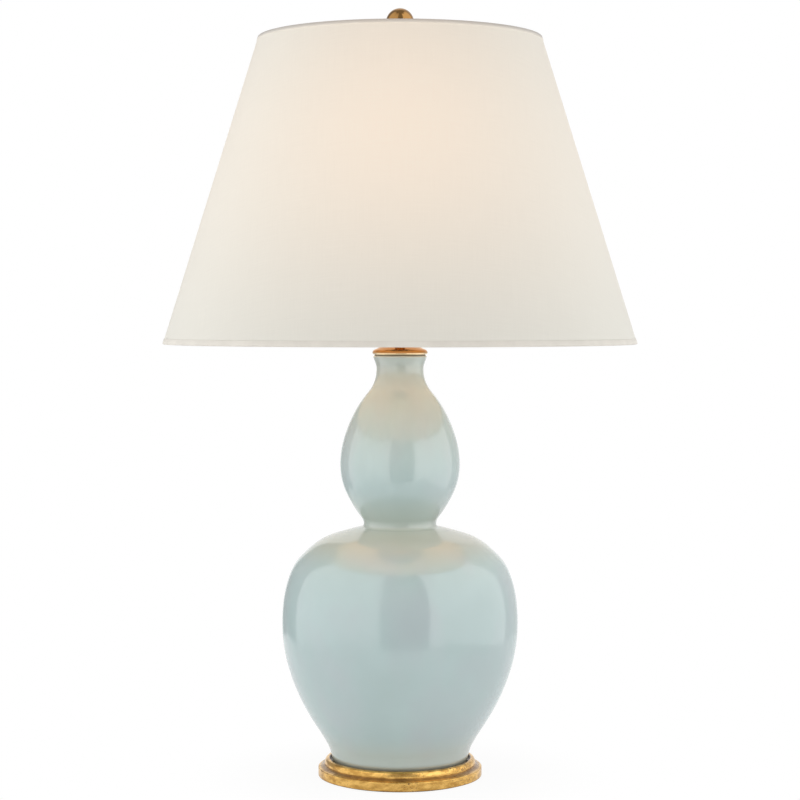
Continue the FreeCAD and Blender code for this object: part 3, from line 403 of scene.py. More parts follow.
# ---- Shader nodes ----
class Bench:
    """Lays shader nodes in a tree and joins them."""

    def __init__(self, tree):
        self.tree = tree

    def feed(self, socket, value):
        """Joins a socket to another, or sets it."""
        if isinstance(value, bpy.types.NodeSocket):
            self.tree.links.new(value, socket)
        elif socket.type == "RGBA":
            socket.default_value = (*value, 1.0)
        else:
            socket.default_value = value

    def coat(self, inputs, **values):
        """Feeds a node's inputs by name, with underscores for spaces."""
        for name, value in values.items():
            self.feed(inputs[name.replace("_", " ")], value)

    def lay(self, kind, *values, settings=None, **named):
        """A node with its settings, and its inputs fed in order or by name."""
        node = self.tree.nodes.new("ShaderNode" + kind)
        for name, value in (settings or {}).items():
            setattr(node, name, value)
        for socket, value in zip(node.inputs, values):
            self.feed(socket, value)
        self.coat(node.inputs, **named)
        return node

    def sum(self, operation, *values):
        """The result of a sum on one to three numbers."""
        return self.lay("Math", *values, settings={"operation": operation}).outputs[0]

    def times(self, first, second):
        """One number times another."""
        return self.sum("MULTIPLY", first, second)

    def most(self, first, *others):
        """The largest of several numbers."""
        for other in others:
            first = self.sum("MAXIMUM", first, other)
        return first

    def blend(self, factor, first, second):
        """Two colours mixed."""
        node = self.lay("Mix", factor, settings={"data_type": "RGBA"})
        self.feed(node.inputs[6], first)
        self.feed(node.inputs[7], second)
        return node.outputs[2]

    def span(self, value, low, high, to_low=0.0, to_high=1.0, kind="LINEAR"):
        """A number carried from one range to another."""
        return self.lay("MapRange", value, low, high, to_low, to_high,
                        settings={"interpolation_type": kind}).outputs[0]

    def within(self, mask, low, high):
        """A mask carried from nothing and one to two other numbers."""
        return self.span(mask, 0.0, 1.0, low, high)

    def fade(self, value, low, high, to_low=0.0, to_high=1.0):
        """A number carried over with soft ends."""
        return self.span(value, low, high, to_low, to_high, "SMOOTHSTEP")

    def place(self):
        """The place on the object, in metres."""
        return self.lay("TexCoord").outputs["Object"]

    def axes(self, vector):
        """A place's three distances along the axes."""
        return self.lay("SeparateXYZ", vector).outputs

    def vectors(self, operation, *values):
        """The result of a sum on one or two places."""
        return self.lay("VectorMath", *values, settings={"operation": operation}).outputs

    def stretched(self, vector, *scale):
        """A place with each of its directions scaled."""
        return self.vectors("MULTIPLY", vector, scale)[0]

    def radius(self, vector):
        """The distance from the lamp's axis."""
        return self.vectors("LENGTH", self.stretched(vector, 1.0, 1.0, 0.0))["Value"]

    def noise(self, vector, scale, detail=2.0, roughness=0.5):
        """Cloudy noise from nothing to one."""
        return self.lay("TexNoise", Vector=vector, Scale=scale, Detail=detail,
                        Roughness=roughness).outputs[0]

    def bump(self, height, strength, distance):
        """A normal raised by a height."""
        return self.lay("Bump", Height=height, Strength=strength, Distance=distance).outputs[0]

    def mixed(self, kind, factor, first, second):
        """Two shaders mixed, as a surface."""
        both = self.lay("MixShader", factor, first.outputs[0], second.outputs[0])
        self.lay(kind, both.outputs[0])


def cleared(holder):
    """A bench on the emptied nodes of a material or a world."""
    holder.use_nodes = True
    holder.node_tree.nodes.clear()
    return Bench(holder.node_tree)


def effect(name, *labels, outputs=("Mask",)):
    """Makes a drawing into a node group with named sockets, built once and placed by each call."""
    def wrap(draw):
        def build():
            tree = bpy.data.node_groups.new(name, "ShaderNodeTree")
            sockets = [("INPUT", "Vector", "Vector")]
            sockets += [("INPUT", "Float", label) for label in labels]
            sockets += [("OUTPUT", "Float", label) for label in outputs]
            for side, kind, label in sockets:
                tree.interface.new_socket(name=label, in_out=side, socket_type="NodeSocket" + kind)
            given = tree.nodes.new("NodeGroupInput").outputs[:len(labels) + 1]
            results = tree.nodes.new("NodeGroupOutput").inputs
            for result, socket in zip(draw(Bench(tree), *given), results):
                tree.links.new(result, socket)
            return tree

        def place(bench, vector, **numbers):
            node = bench.tree.nodes.new("ShaderNodeGroup")
            node.node_tree = bpy.data.node_groups.get(name) or build()
            bench.feed(node.inputs["Vector"], vector)
            for label, value in numbers.items():
                bench.feed(node.inputs[label.capitalize()], value)
            return node.outputs[0] if len(outputs) == 1 else node.outputs
        return place
    return wrap


@effect("Mottle", "Scale", "Detail", "Low", "High")
def mottle(bench, vector, scale, detail, low, high):
    """Cloudy patches with soft edges."""
    return [bench.fade(bench.noise(vector, scale, detail), low, high)]


@effect("Specks", "Scale", "Size", "Share")
def specks(bench, vector, scale, size, share):
    """Round specks, scattered thinly."""
    cells = bench.lay("TexVoronoi", Vector=vector, Scale=scale).outputs
    chosen = bench.lay("SeparateColor", Color=cells["Color"]).outputs[0]
    return [bench.times(bench.fade(cells["Distance"], size, 0.0), bench.sum("LESS_THAN", chosen, share))]


@effect("Turning lines", "Scale", outputs=("Height",))
def turning_lines(bench, vector, scale):
    """Fine uneven lines round the lamp's axis, as a lathe and a cloth leave them."""
    rings = bench.lay("CombineXYZ", bench.radius(vector), bench.axes(vector)[2], 0.0).outputs[0]
    drift = bench.stretched(vector, 0.02, 0.02, 0.0)
    return [bench.noise(bench.vectors("ADD", rings, drift)[0], scale, 2.0, 0.6)]


@effect("Plain weave", "Pitch", outputs=("Height", "Slub"))
def weave(bench, vector, pitch):
    """A plain weave with slubs, laid out on the flat cloth."""
    across, along, _ = bench.axes(vector)
    turns = bench.sum("DIVIDE", math.pi, pitch)
    warp = bench.sum("SINE", bench.times(across, turns))
    weft = bench.sum("SINE", bench.times(along, turns))
    over = bench.sum("ABSOLUTE", bench.sum("SUBTRACT", warp, weft))
    long_slub = bench.noise(bench.stretched(vector, 1.0, 0.03, 1.0), 900.0)
    cross_slub = bench.noise(bench.stretched(vector, 0.03, 1.0, 1.0), 900.0)
    slub = bench.times(bench.sum("ADD", long_slub, cross_slub), 0.5)
    return [bench.sum("ADD", bench.times(over, 0.5), slub), slub]


@effect("Band", "Height", "Reach")
def band(bench, vector, height, reach):
    """One at a height on the object, fading to nothing above and below."""
    away = bench.sum("ABSOLUTE", bench.sum("SUBTRACT", bench.axes(vector)[2], height))
    return [bench.fade(away, reach, 0.0)]


@effect("Beside the bow")
def beside_bow(bench, vector):
    """One in front of and behind the harp's bow, falling away towards its legs."""
    along, across = [bench.sum("POWER", axis, 2.0) for axis in bench.axes(vector)[:2]]
    return [bench.sum("POWER", bench.sum("DIVIDE", across, bench.sum("ADD", along, across)), 2.0)]


# ---- Finishes ----
def finish(paint):
    """Makes a painter into one that gives the material of a name, painted the first time."""
    def named(name, *values):
        material = bpy.data.materials.get(name)
        if not material:
            material = bpy.data.materials.new(name)
            bench = cleared(material)
            shader = bench.lay("BsdfPrincipled")
            bench.lay("OutputMaterial", shader.outputs[0])
            colours = bpy.context.scene.lamp_finishes
            bench.coat(shader.inputs, **paint(bench, bench.place(), colours, *values))
        return material
    return named


def toned(tint, *parts):
    """A colour lightened or darkened, by one number or by one for each of its channels."""
    return [min(value * part, 1.0) for value, part in zip(tint, parts if len(parts) == 3 else parts * 3)]


@finish
def celadon_glaze(bench, place, colours):
    """A thick pale glaze, cloudy in its depth, thin at the lip, with painted warm reflections and painted
    shade at the foot.
    """
    # Colour of the painted shade at the foot, dark with the gilded bead's reflection.
    painted_foot_shade_tint = (0.24, 0.20, 0.12)
    iron_speck = (0.10, 0.12, 0.12)
    foot = VASE_LOW.z
    cloud = mottle(bench, place, scale=11.0, detail=3.0, low=0.38, high=0.66)
    blush = mottle(bench, bench.stretched(place, 1.0, 1.0, 0.6), scale=16.0, detail=2.0, low=0.45, high=0.7)
    # Paler glaze at the lip. The bands at the foot and the waist are painted warm reflection; at the foot
    # it is partly thin glaze too.
    thin_glaze_and_reflection = bench.most(band(bench, place, height=VASE_HIGH.z, reach=0.004),
                      band(bench, place, height=foot + 0.008, reach=0.030),
                      band(bench, place, height=foot + GOURD["waist"][1] + 0.004, reach=0.036))
    # Painted reflection of the lamplit shade: warm bands on the shoulder and round the neck.
    brow = band(bench, place, height=foot + GOURD["turn"][1] + 0.007, reach=0.024)
    neck = band(bench, place, height=foot + GOURD["neck"][1] - 0.012, reach=0.075)
    warm = bench.most(bench.times(brow, 0.55), bench.times(neck, 0.28))
    # Painted shade and reflection of the gilded bead just above the foot.
    painted_foot_shade = band(bench, place, height=foot, reach=0.007)
    tint = bench.blend(cloud, colours.glaze, toned(colours.glaze, 1.06))
    tint = bench.blend(blush, tint, toned(colours.glaze, 1.07, 0.99, 1.02))
    tint = bench.blend(bench.times(thin_glaze_and_reflection, 0.35), tint, colours.glaze_thin_and_reflected)
    tint = bench.blend(warm, tint, colours.painted_lamplight_reflection)
    tint = bench.blend(bench.times(painted_foot_shade, 0.85), tint, painted_foot_shade_tint)
    dots = specks(bench, place, scale=30.0, size=0.022, share=0.06)
    return {"Base_Color": bench.blend(dots, tint, iron_speck),
            "Roughness": bench.within(cloud, 0.13, 0.17), "IOR": 1.6, "Specular_IOR_Level": 0.9,
            "Normal": bench.bump(bench.noise(place, 22.0, 1.0), strength=0.25, distance=0.002)}


@finish
def gold_leaf(bench, place, colours):
    """Gold leaf over clay, worn through in flecks, darker at its foot, with painted shade in the cove and
    the seat.
    """
    spun_place = bench.stretched(place, 1.0, 1.0, 2.4)
    patchy = mottle(bench, place, scale=24.0, detail=3.0, low=0.48, high=0.62)
    flecks = mottle(bench, spun_place, scale=430.0, detail=4.0, low=0.575, high=0.64)
    toning = mottle(bench, spun_place, scale=95.0, detail=4.0, low=0.32, high=0.68)
    through = bench.times(flecks, bench.within(patchy, 0.06, 0.80))
    leaf = bench.blend(toning, toned(colours.gold, 0.64, 0.57, 0.46), toned(colours.gold, 1.12))
    out = bench.radius(place)
    # Painted shade in the cove under the bead.
    painted_cove_shade = band(bench, place, height=BASE_LOW.z + 0.0098, reach=0.0020)
    painted_cove_shade = bench.times(painted_cove_shade, bench.fade(out, 0.0776, 0.0764))
    # Darker along the bottom edge.
    rim = band(bench, place, height=BASE_LOW.z, reach=0.0012)
    # Painted shade in the recess that the vase stands in.
    seat = bench.fade(out, 0.0690, 0.0680)
    # Leaf worn through to the bole in flecks, plus the painted shade.
    bole_and_painted_shade = bench.most(through, bench.times(bench.most(painted_cove_shade, rim), 0.7), seat)
    grain = bench.noise(spun_place, 260.0, 3.0, 0.55)
    return {"Base_Color": bench.blend(bole_and_painted_shade, leaf, colours.bole_and_shade),
            "Metallic": bench.within(bole_and_painted_shade, 0.95, 0.2),
            "Roughness": bench.within(toning, 0.27, 0.17),
            "Normal": bench.bump(bench.sum("SUBTRACT", grain, through), strength=0.20, distance=0.0004)}


@finish
def brass(bench, place, colours, tone, roughness, rubbed=None):
    """Aged brass with turning lines and tarnish, and a painted highlight band round a height where one is
    given.
    """
    dulled = mottle(bench, place, scale=120.0, detail=5.0, low=0.45, high=0.8)
    tint = bench.blend(bench.times(dulled, 0.45), toned(colours.brass, tone), colours.tarnish)
    if rubbed:
        # A painted highlight band round the given height.
        tint = bench.blend(band(bench, place, height=rubbed, reach=0.0016), tint, colours.painted_highlight)
    return {"Base_Color": tint, "Metallic": 1.0,
            "Roughness": bench.within(dulled, roughness, roughness + 0.15),
            "Normal": bench.bump(turning_lines(bench, place, scale=2200.0), strength=0.12, distance=0.0002)}


@finish
def bare_metal(bench, place, colours, tint, roughness):
    """Plated or drawn metal with faint clouding."""
    cloud = mottle(bench, place, scale=180.0, detail=4.0, low=0.3, high=0.8)
    return {"Base_Color": bench.blend(cloud, tint, toned(tint, 0.8)), "Metallic": 1.0,
            "Roughness": bench.within(cloud, roughness, roughness + 0.12),
            "Normal": bench.bump(turning_lines(bench, place, scale=2600.0), strength=0.15, distance=0.0002)}


@finish
def moulded(bench, place, colours, tint, roughness, scale=400.0):
    """A moulded or painted surface with a fine uneven skin."""
    cloud = mottle(bench, place, scale=scale * 0.2, detail=3.0, low=0.3, high=0.7)
    return {"Base_Color": bench.blend(cloud, tint, toned(tint, 0.88)),
            "Roughness": bench.within(cloud, roughness, roughness + 0.1),
            "Normal": bench.bump(bench.noise(place, scale, 3.0), strength=0.15, distance=0.0002)}


@finish
def fibrous(bench, place, colours, tint, scale, depth):
    """Felt, paper or cork: matted fibres or grains."""
    fibres = bench.noise(place, scale, 5.0, 0.7)
    matted = bench.times(mottle(bench, place, scale=scale * 0.25, detail=3.0, low=0.35, high=0.65), fibres)
    return {"Base_Color": bench.blend(matted, tint, toned(tint, 0.6)), "Roughness": 0.95,
            "Specular_IOR_Level": 0.2, "Normal": bench.bump(fibres, strength=0.6, distance=depth)}


def lamp_through(bench, place, colours, strength):
    """The lamp's light where it comes through a sheet of cloth."""
    across = bench.within(beside_bow(bench, place), 0.42, 1.0)
    lit = bench.times(band(bench, place, height=colours.glow_height, reach=colours.glow_reach), across)
    return {"Emission_Color": bench.blend(lit, BLACK, colours.glow), "Emission_Strength": strength}


@finish
def shade_cloth(bench, place, colours):
    """Fine off-white cloth, lit a little from inside round the bulb's height."""
    flat = bench.lay("UVMap", settings={"uv_map": "flat_cloth"}).outputs[0]
    height, slub = weave(bench, flat, pitch=bpy.context.scene.lamp_shade.thread)
    thread = bench.span(slub, 0.35, 0.65)
    return {"Base_Color": bench.blend(thread, toned(colours.cloth, 0.975), colours.cloth),
            "Roughness": 0.85, "Specular_IOR_Level": 0.25, "Sheen_Weight": 0.1,
            "Normal": bench.bump(height, strength=0.08, distance=0.0002),
            **lamp_through(bench, place, colours, 0.25)}


@finish
def trim_cloth(bench, place, colours):
    """The same cloth cut as tape, doubled over so that less light comes through."""
    fold_shadow = (0.50, 0.49, 0.465)
    cloud = mottle(bench, place, scale=60.0, detail=3.0, low=0.3, high=0.7)
    cloth = bench.blend(cloud, toned(colours.trim, 0.94), colours.trim)
    # Painted shadow along the fold at the shade's top edge.
    fold = band(bench, place, height=SHADE_TOP, reach=0.0040)
    return {"Base_Color": bench.blend(fold, cloth, fold_shadow), "Roughness": 0.9,
            "Specular_IOR_Level": 0.2,
            "Normal": bench.bump(turning_lines(bench, place, scale=1200.0), strength=0.3, distance=0.0003),
            **lamp_through(bench, place, colours, 0.16)}


@finish
def styrene_lining(bench, place, colours):
    """The shade's stiff white lining, bright with the bulb's light."""
    cloud = mottle(bench, place, scale=60.0, detail=3.0, low=0.3, high=0.7)
    lit = band(bench, place, height=colours.glow_height - 0.05, reach=0.30)
    return {"Base_Color": bench.blend(cloud, (0.86, 0.85, 0.81), (0.80, 0.79, 0.75)), "Roughness": 0.45,
            "Emission_Color": bench.blend(lit, BLACK, colours.lamplight),
            "Emission_Strength": bpy.context.scene.lamp_studio.lining_light,
            "Normal": bench.bump(bench.noise(place, 300.0, 3.0), strength=0.1, distance=0.0002)}


@finish
def bulb_glass(bench, place, colours):
    """Soft white glass, lit."""
    filament = band(bench, place, height=GLASS_LOW.z + 0.042, reach=0.05)
    return {"Base_Color": bench.blend(bench.noise(place, 60.0), (0.60, 0.59, 0.56), (0.64, 0.63, 0.60)),
            "Emission_Color": bench.blend(filament, toned(colours.lamplight, 0.7), colours.lamplight),
            "Emission_Strength": bpy.context.scene.lamp_studio.bulb_light, "Roughness": 0.3}


def drawn_aluminium():
    """The metal of the bulb's cap and the shell that it screws into."""
    return bare_metal("Drawn aluminium", (0.72, 0.72, 0.71), 0.28)


def fitting(name, shape, body, node, crease=35):
    """A piece in the aged brass of the fittings."""
    return piece(name, shape, brass("Aged brass", 1.0, 0.10), body, node, crease)


# ---- Vase, base and cap ----
class LAMP_OT_vase(bpy.types.Operator):
    """Turns the double gourd vase."""
    bl_idname = "lamp.vase"
    bl_label = "Vase"

    def execute(self, context):
        sizes = context.scene.lamp_body
        foot_z = VASE_LOW.z
        rim_z = VASE_HIGH.z
        outside = [(radius, foot_z + height, heading) for radius, height, heading in GOURD.values()]
        foot = outside[0][0]
        lip, _, lip_heading = outside[-1]
        inside = lined(outside[2:-1], sizes.vase_wall)
        recess_z = foot_z + 0.003
        floor_z = recess_z + 0.006
        hole = 0.006
        foot_ring = foot - 0.012
        outline = Trail(foot, foot_z).through(outside)
        outline.along((lip_heading, lip - sizes.lip_round * 0.3, rim_z - sizes.lip_round * 0.5),
                      (115, lip - sizes.lip_round, rim_z),
                      (sizes.mouth_radius, rim_z, sizes.mouth_radius, inside[0][1], 0.0008))
        outline.through(inside)
        outline.along((inside[-1][2], GOURD["flare"][0] - 2 * sizes.vase_wall, floor_z), (hole, floor_z),
                      (hole, recess_z), (foot_ring - 0.003, recess_z), (foot_ring, foot_z))
        piece("gourd_vase", outline.turned(sizes.round_steps), celadon_glaze("Celadon glaze"), "root",
              "vase_body", 50)
        return {"FINISHED"}


class LAMP_OT_base(bpy.types.Operator):
    """Turns the gilded base, and sinks the cord inlet in its rear."""
    bl_idname = "lamp.base"
    bl_label = "Gilded base"

    def execute(self, context):
        sizes = context.scene.lamp_body
        pipe_hole = context.scene.lamp_fittings.pipe_radius + LOOSE
        nut_hole = 0.022
        low = BASE_LOW.z
        top = BASE_HIGH.z
        radius = BASE_HIGH.x
        plinth = low + sizes.plinth_height
        seat = top - sizes.seat_depth
        nut_ceiling = low + 0.009
        ease = sizes.eased_edge
        outline = Trail(nut_hole, low).along(
            (radius, low, radius, plinth - ease, ease * 0.7), (90, radius - ease * 1.5, plinth, 160),
            (170, sizes.bead_foot, plinth + sizes.wash_rise), (78, sizes.bead_crown, top, 180),
            (sizes.seat_radius, top, sizes.seat_radius, seat, 0.0005), (pipe_hole, seat),
            (pipe_hole, nut_ceiling), (nut_hole, nut_ceiling))
        base = piece("turned_base", outline.turned(sizes.round_steps), gold_leaf("Rubbed gold leaf"),
                     "root", "gilt_base")
        low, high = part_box("cord_bushing")
        flange_foot = high.y - 0.0018
        self.sink_inlet(base, low, high, flange_foot, sizes.inlet_height)
        self.bushing(low, high, flange_foot, sizes.inlet_height)
        return {"FINISHED"}

    def sink_inlet(self, base, low, high, flat, height):
        """Drills the inlet, with a flat on the plinth for the bushing's flange."""
        sleeve = 0.0037
        start = low.y - 0.0002
        flange = high.x + LOOSE
        outside = high.y + 0.01
        drill = Trail(0, start).along((sleeve, start), (sleeve, flat), (flange, flat), (flange, outside),
                                      (0, outside))
        cutter = self.laid_back(drill.turned(FINE_STEPS), height)
        bmesh.ops.recalc_face_normals(cutter, faces=cutter.faces)
        tool = placed("drill", cutter)
        cut = base.modifiers.new("inlet", "BOOLEAN")
        cut.operation = "DIFFERENCE"
        cut.solver = "EXACT"
        cut.object = tool
        graph = bpy.context.evaluated_depsgraph_get()
        result = bpy.data.meshes.new_from_object(base.evaluated_get(graph))
        base.modifiers.clear()
        base.data = result
        bpy.data.meshes.remove(tool.data)

    def laid_back(self, shape, height):
        """A shape drawn upright, turned so that it points to the rear on the inlet's axis."""
        rotated(shape, -QUARTER_TURN, "X")
        bmesh.ops.translate(shape, verts=shape.verts, vec=(0, 0, height))
        return shape

    def bushing(self, low, high, flange_foot, height):
        """The sleeve in the inlet, with a rounded flange."""
        bore = 0.0029
        sleeve = bore + 0.0007
        outline = Trail(bore, low.y).along(
            (sleeve, low.y), (sleeve, flange_foot), (high.x, flange_foot), (high.x, high.y - 0.0006),
            (90, high.x - 0.0005, high.y), (bore + 0.0004, high.y), (180, bore, high.y - 0.0004))
        piece("inlet_bushing", self.laid_back(outline.turned(FINE_STEPS), height),
              moulded("Black plastic", (0.02, 0.02, 0.02), 0.35), "root", "cord_bushing")


class LAMP_OT_felt(bpy.types.Operator):
    """Cuts the felt pad under the base."""
    bl_idname = "lamp.felt"
    bl_label = "Felt pad"

    def execute(self, context):
        low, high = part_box("felt_pad")
        rings = 12
        soft = 0.0004
        edge = high.x - 0.0003
        outline = Trail(0, low.z).line(edge, low.z, rings)
        outline.along((0, high.x, low.z + soft), (high.x, high.z - soft), (90, edge, high.z))
        shape = outline.line(0, high.z, rings).turned(context.scene.lamp_body.round_steps)
        felt = piece("felt_disc", shape, fibrous("Green felt", (0.055, 0.11, 0.06), 900.0, 0.0005), "root",
                     "felt_pad")
        return {"FINISHED"}


class LAMP_OT_cap(bpy.types.Operator):
    """Spins the brass cap and turns the neck above it."""
    bl_idname = "lamp.cap"
    bl_label = "Cap and neck"

    def execute(self, context):
        sizes = context.scene.lamp_fittings
        hole = sizes.pipe_radius + LOOSE
        wall = 0.001
        rim = (CAP_HIGH.x - 0.0008, CAP_LOW.z + 0.0003, 50)
        widest = (CAP_HIGH.x, CAP_LOW.z + 0.0014, 92)
        brim = (CAP_HIGH.x - 0.0066, CAP_LOW.z + 0.0067, 158)
        flat = (0.0105, CAP_HIGH.z, 180)
        outside = [rim, widest, brim, flat]
        inside = lined(outside, wall)
        outline = Trail(rim[0] - 0.0004, CAP_LOW.z).bend(0, *rim[:2]).through(outside)
        outline.along((hole, CAP_HIGH.z), (hole, CAP_HIGH.z - wall), inside[0][:2]).through(inside)
        # The band near the cap's lower edge is a painted highlight.
        piece("brass_cap", outline.turned(context.scene.lamp_body.round_steps),
              brass("Rubbed brass", 0.72, 0.06, CAP_LOW.z + 0.0009), "root", "vase_cap")
        self.neck(sizes)
        return {"FINISHED"}

    def neck(self, sizes):
        """A waisted tube between two banded ends."""
        low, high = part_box("neck_tube")
        end = high.x
        bore = sizes.pipe_radius + PRESSED
        waist = (end - 0.0018, (low.z + high.z) / 2)
        lower_band = low.z + 0.0022
        upper_band = high.z - 0.0022
        round_over = 0.0004
        outline = Trail(bore, low.z).along(
            (end - round_over, low.z), (20, end, low.z + 0.0005), (end, lower_band - round_over),
            (100, end - 0.0006, lower_band), (115, *waist, 90), (90, end - 0.0006, upper_band, 65),
            (0, end, upper_band + round_over), (end, high.z - 0.0005), (90, end - round_over, high.z),
            (bore, high.z))
        fitting("brass_neck", outline.turned(sizes.small_steps), "root", "neck_tube")


# ---- Harp ----
class LAMP_OT_harp(bpy.types.Operator):
    """Bends the harp, and makes its stud, ferrules and saddle."""
    bl_idname = "lamp.harp"
    bl_label = "Harp"

    def execute(self, context):
        sizes = context.scene.lamp_fittings
        plated = brass("Brass plate", 1.3, 0.24)
        self.bow(sizes, plated)
        self.stud(sizes)
        for side in ("left", "right"):
            self.ferrule(side)
        saddle = bmesh.new()
        saddle.from_mesh(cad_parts["harp_saddle"].data)
        piece("harp_saddle_strip", saddle, plated, "root", "harp_saddle", 30)
        return {"FINISHED"}

    def bow(self, sizes, plated):
        """One length of wire with a flat at the top, bored for the stud."""
        wire = sizes.wire_radius
        leg = sizes.leg_offset
        leg_parts = 4
        bend_z = BOW_LOW.z + 0.033
        widest = BOW_HIGH.x - wire
        widest_z = bend_z + 0.076
        top = BOW_HIGH.z - wire
        flat = 0.009
        path = Trail(-leg, BOW_LOW.z, wire, 90, sizes.wire_sides).line(-leg, bend_z, leg_parts)
        path.along((90, -widest, widest_z, 90), (90, -flat, top, 0), (flat, top),
                   (0, widest, widest_z, 270), (270, leg, bend_z, 270)).line(leg, BOW_LOW.z, leg_parts)
        pad = bmesh.new()
        block = Matrix.Diagonal((2 * flat, sizes.pad_width, 2 * wire, 1))
        bmesh.ops.create_cube(pad, size=1, matrix=Matrix.Translation((0, 0, top)) @ block)
        upright = [edge for edge in pad.edges if abs(edge.verts[0].co.z - edge.verts[1].co.z) > wire]
        eased(pad, upright, 0.003, 6)
        rims = [edge for edge in pad.edges if abs(edge.verts[0].co.z - edge.verts[1].co.z) < WELD]
        eased(pad, rims, 0.0004, 2)
        piece("harp_wire", joined(path.capped(), pad), plated, "harp", "harp_bow", 50)

    def stud(self, sizes):
        """The headed stud with its fine thread."""
        low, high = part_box("harp_stud")
        shank = sizes.stud_radius
        root = shank - 0.0003
        pad_top = BOW_HIGH.z
        head_top = low.z + 0.0018
        round_over = 0.0008
        outline = Trail(0, low.z).along(
            (high.x - round_over, low.z), (0, high.x, low.z + round_over), (high.x, head_top),
            (shank, head_top), (shank, pad_top + 0.0016), (root, pad_top + 0.0020),
            (root, high.z - round_over), (90, root - round_over, high.z), (0, high.z))
        start = pad_top + 0.0024
        thread = helix(root, start, high.z - 0.0012 - start, sizes.stud_pitch, 0.00029, 32, 6)
        fitting("harp_screw_stud", joined(outline.turned(FINE_STEPS), thread), "harp", "harp_stud", 50)

    def ferrule(self, side):
        """A sleeve with rolled ends."""
        node = "ferrule_" + side
        low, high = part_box(node)
        centre = (low.x + high.x) / 2
        inner = centre + 0.00305
        outer = centre + (high.x - low.x) / 2
        roll = 0.0004
        rolled = 0.0012
        waist = outer - roll * 0.6
        outline = Trail(inner, low.z).along(
            (outer - roll, low.z), (0, outer, low.z + roll), (90, waist, low.z + rolled),
            (waist, high.z - rolled), (60, outer, high.z - roll), (90, outer - roll, high.z),
            (inner, high.z))
        fitting("sleeve_" + side, outline.turned(FINE_STEPS, centre), node, node)


# ---- Socket, switch and bulb ----
class LAMP_OT_socket(bpy.types.Operator):
    """Spins the socket's two shells and cuts the switch knob."""
    bl_idname = "lamp.socket"
    bl_label = "Socket"

    def execute(self, context):
        sizes = context.scene.lamp_fittings
        self.lower_shell(sizes)
        self.upper_shell(sizes)
        self.knob(sizes)
        return {"FINISHED"}

    def lower_shell(self, sizes):
        """The hub and the domed skirt."""
        low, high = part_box("socket_cap")
        wall = sizes.sheet_metal
        hub = 0.0074
        bore = sizes.pipe_radius + PRESSED
        skirt = low.z + 0.0045
        floor = skirt + 2 * wall
        dome = (high.x, skirt + 0.00725, 90)
        inner, inner_z, _ = lined([dome], wall)[0]
        outline = Trail(bore, low.z).along(
            (hub, low.z, hub, skirt - 0.0005, 0.0004), (90, hub + 0.0006, skirt), (10, *dome),
            (high.x, high.z - wall * 0.5), (90, high.x - wall * 0.5, high.z), (inner, high.z),
            (inner, inner_z), (270, hub, floor, 190), (bore, floor))
        fitting("socket_lower_shell", outline.turned(sizes.small_steps), "root", "socket_cap")

    def upper_shell(self, sizes):
        """The straight shell with its beads and rolled mouth."""
        low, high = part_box("socket_shell")
        bead = 0.0009
        groove = 0.0008
        outer = high.x - bead
        inner = outer - sizes.sheet_metal
        bead_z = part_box("socket_cap")[1].z + bead + PRESSED
        outline = Trail(inner, low.z).along((outer, low.z), (outer, bead_z - bead),
                                            (0, outer + bead, bead_z), (90, outer, bead_z + bead))
        for height in (0.55, 0.62, 0.69):
            z = bead_z + (high.z - bead_z) * height
            outline.along((outer, z - groove), (125, outer, z + groove))
        outline.along((outer, high.z - 0.0014), (45, outer + 0.0005, high.z - 0.0006),
                      (90, inner, high.z - 0.0003))
        fitting("socket_upper_shell", outline.turned(sizes.small_steps), "root", "socket_shell")

    def knob(self, sizes):
        """A fluted knob, drawn end on and pulled out along the shaft."""
        low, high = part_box("switch_knob")
        radius = sizes.knob_radius
        depth = low.y - high.y
        flute = math.degrees(2 * math.asin(0.0008 / (2 * radius)))
        pitch = 360 / sizes.knob_flutes
        start = toward(-flute) * radius
        outline = Trail(start.x, start.z)
        for index in range(sizes.knob_flutes):
            angle = index * pitch
            end = toward(angle + flute) * radius
            land = toward(angle + pitch - flute) * radius
            outline.along((angle + 180 - flute / 2, end.x, end.z), (angle + flute + 90, land.x, land.z))
        shape = outline.mesh
        bmesh.ops.remove_doubles(shape, verts=shape.verts, dist=WELD)
        bmesh.ops.contextual_create(shape, geom=shape.edges[:])
        grown = bmesh.ops.extrude_face_region(shape, geom=shape.faces[:] + shape.edges[:] + shape.verts[:])
        front = [part for part in grown["geom"] if isinstance(part, bmesh.types.BMVert)]
        bmesh.ops.translate(shape, verts=front, vec=(0, depth, 0))
        rim = [edge for edge in shape.edges if all(vert.co.y < depth / 2 for vert in edge.verts)]
        eased(shape, rim, 0.0006, 3)
        bmesh.ops.translate(shape, verts=shape.verts, vec=(0, high.y, (low.z + high.z) / 2))
        fitting("fluted_knob", shape, "switch", "switch_knob", 40)


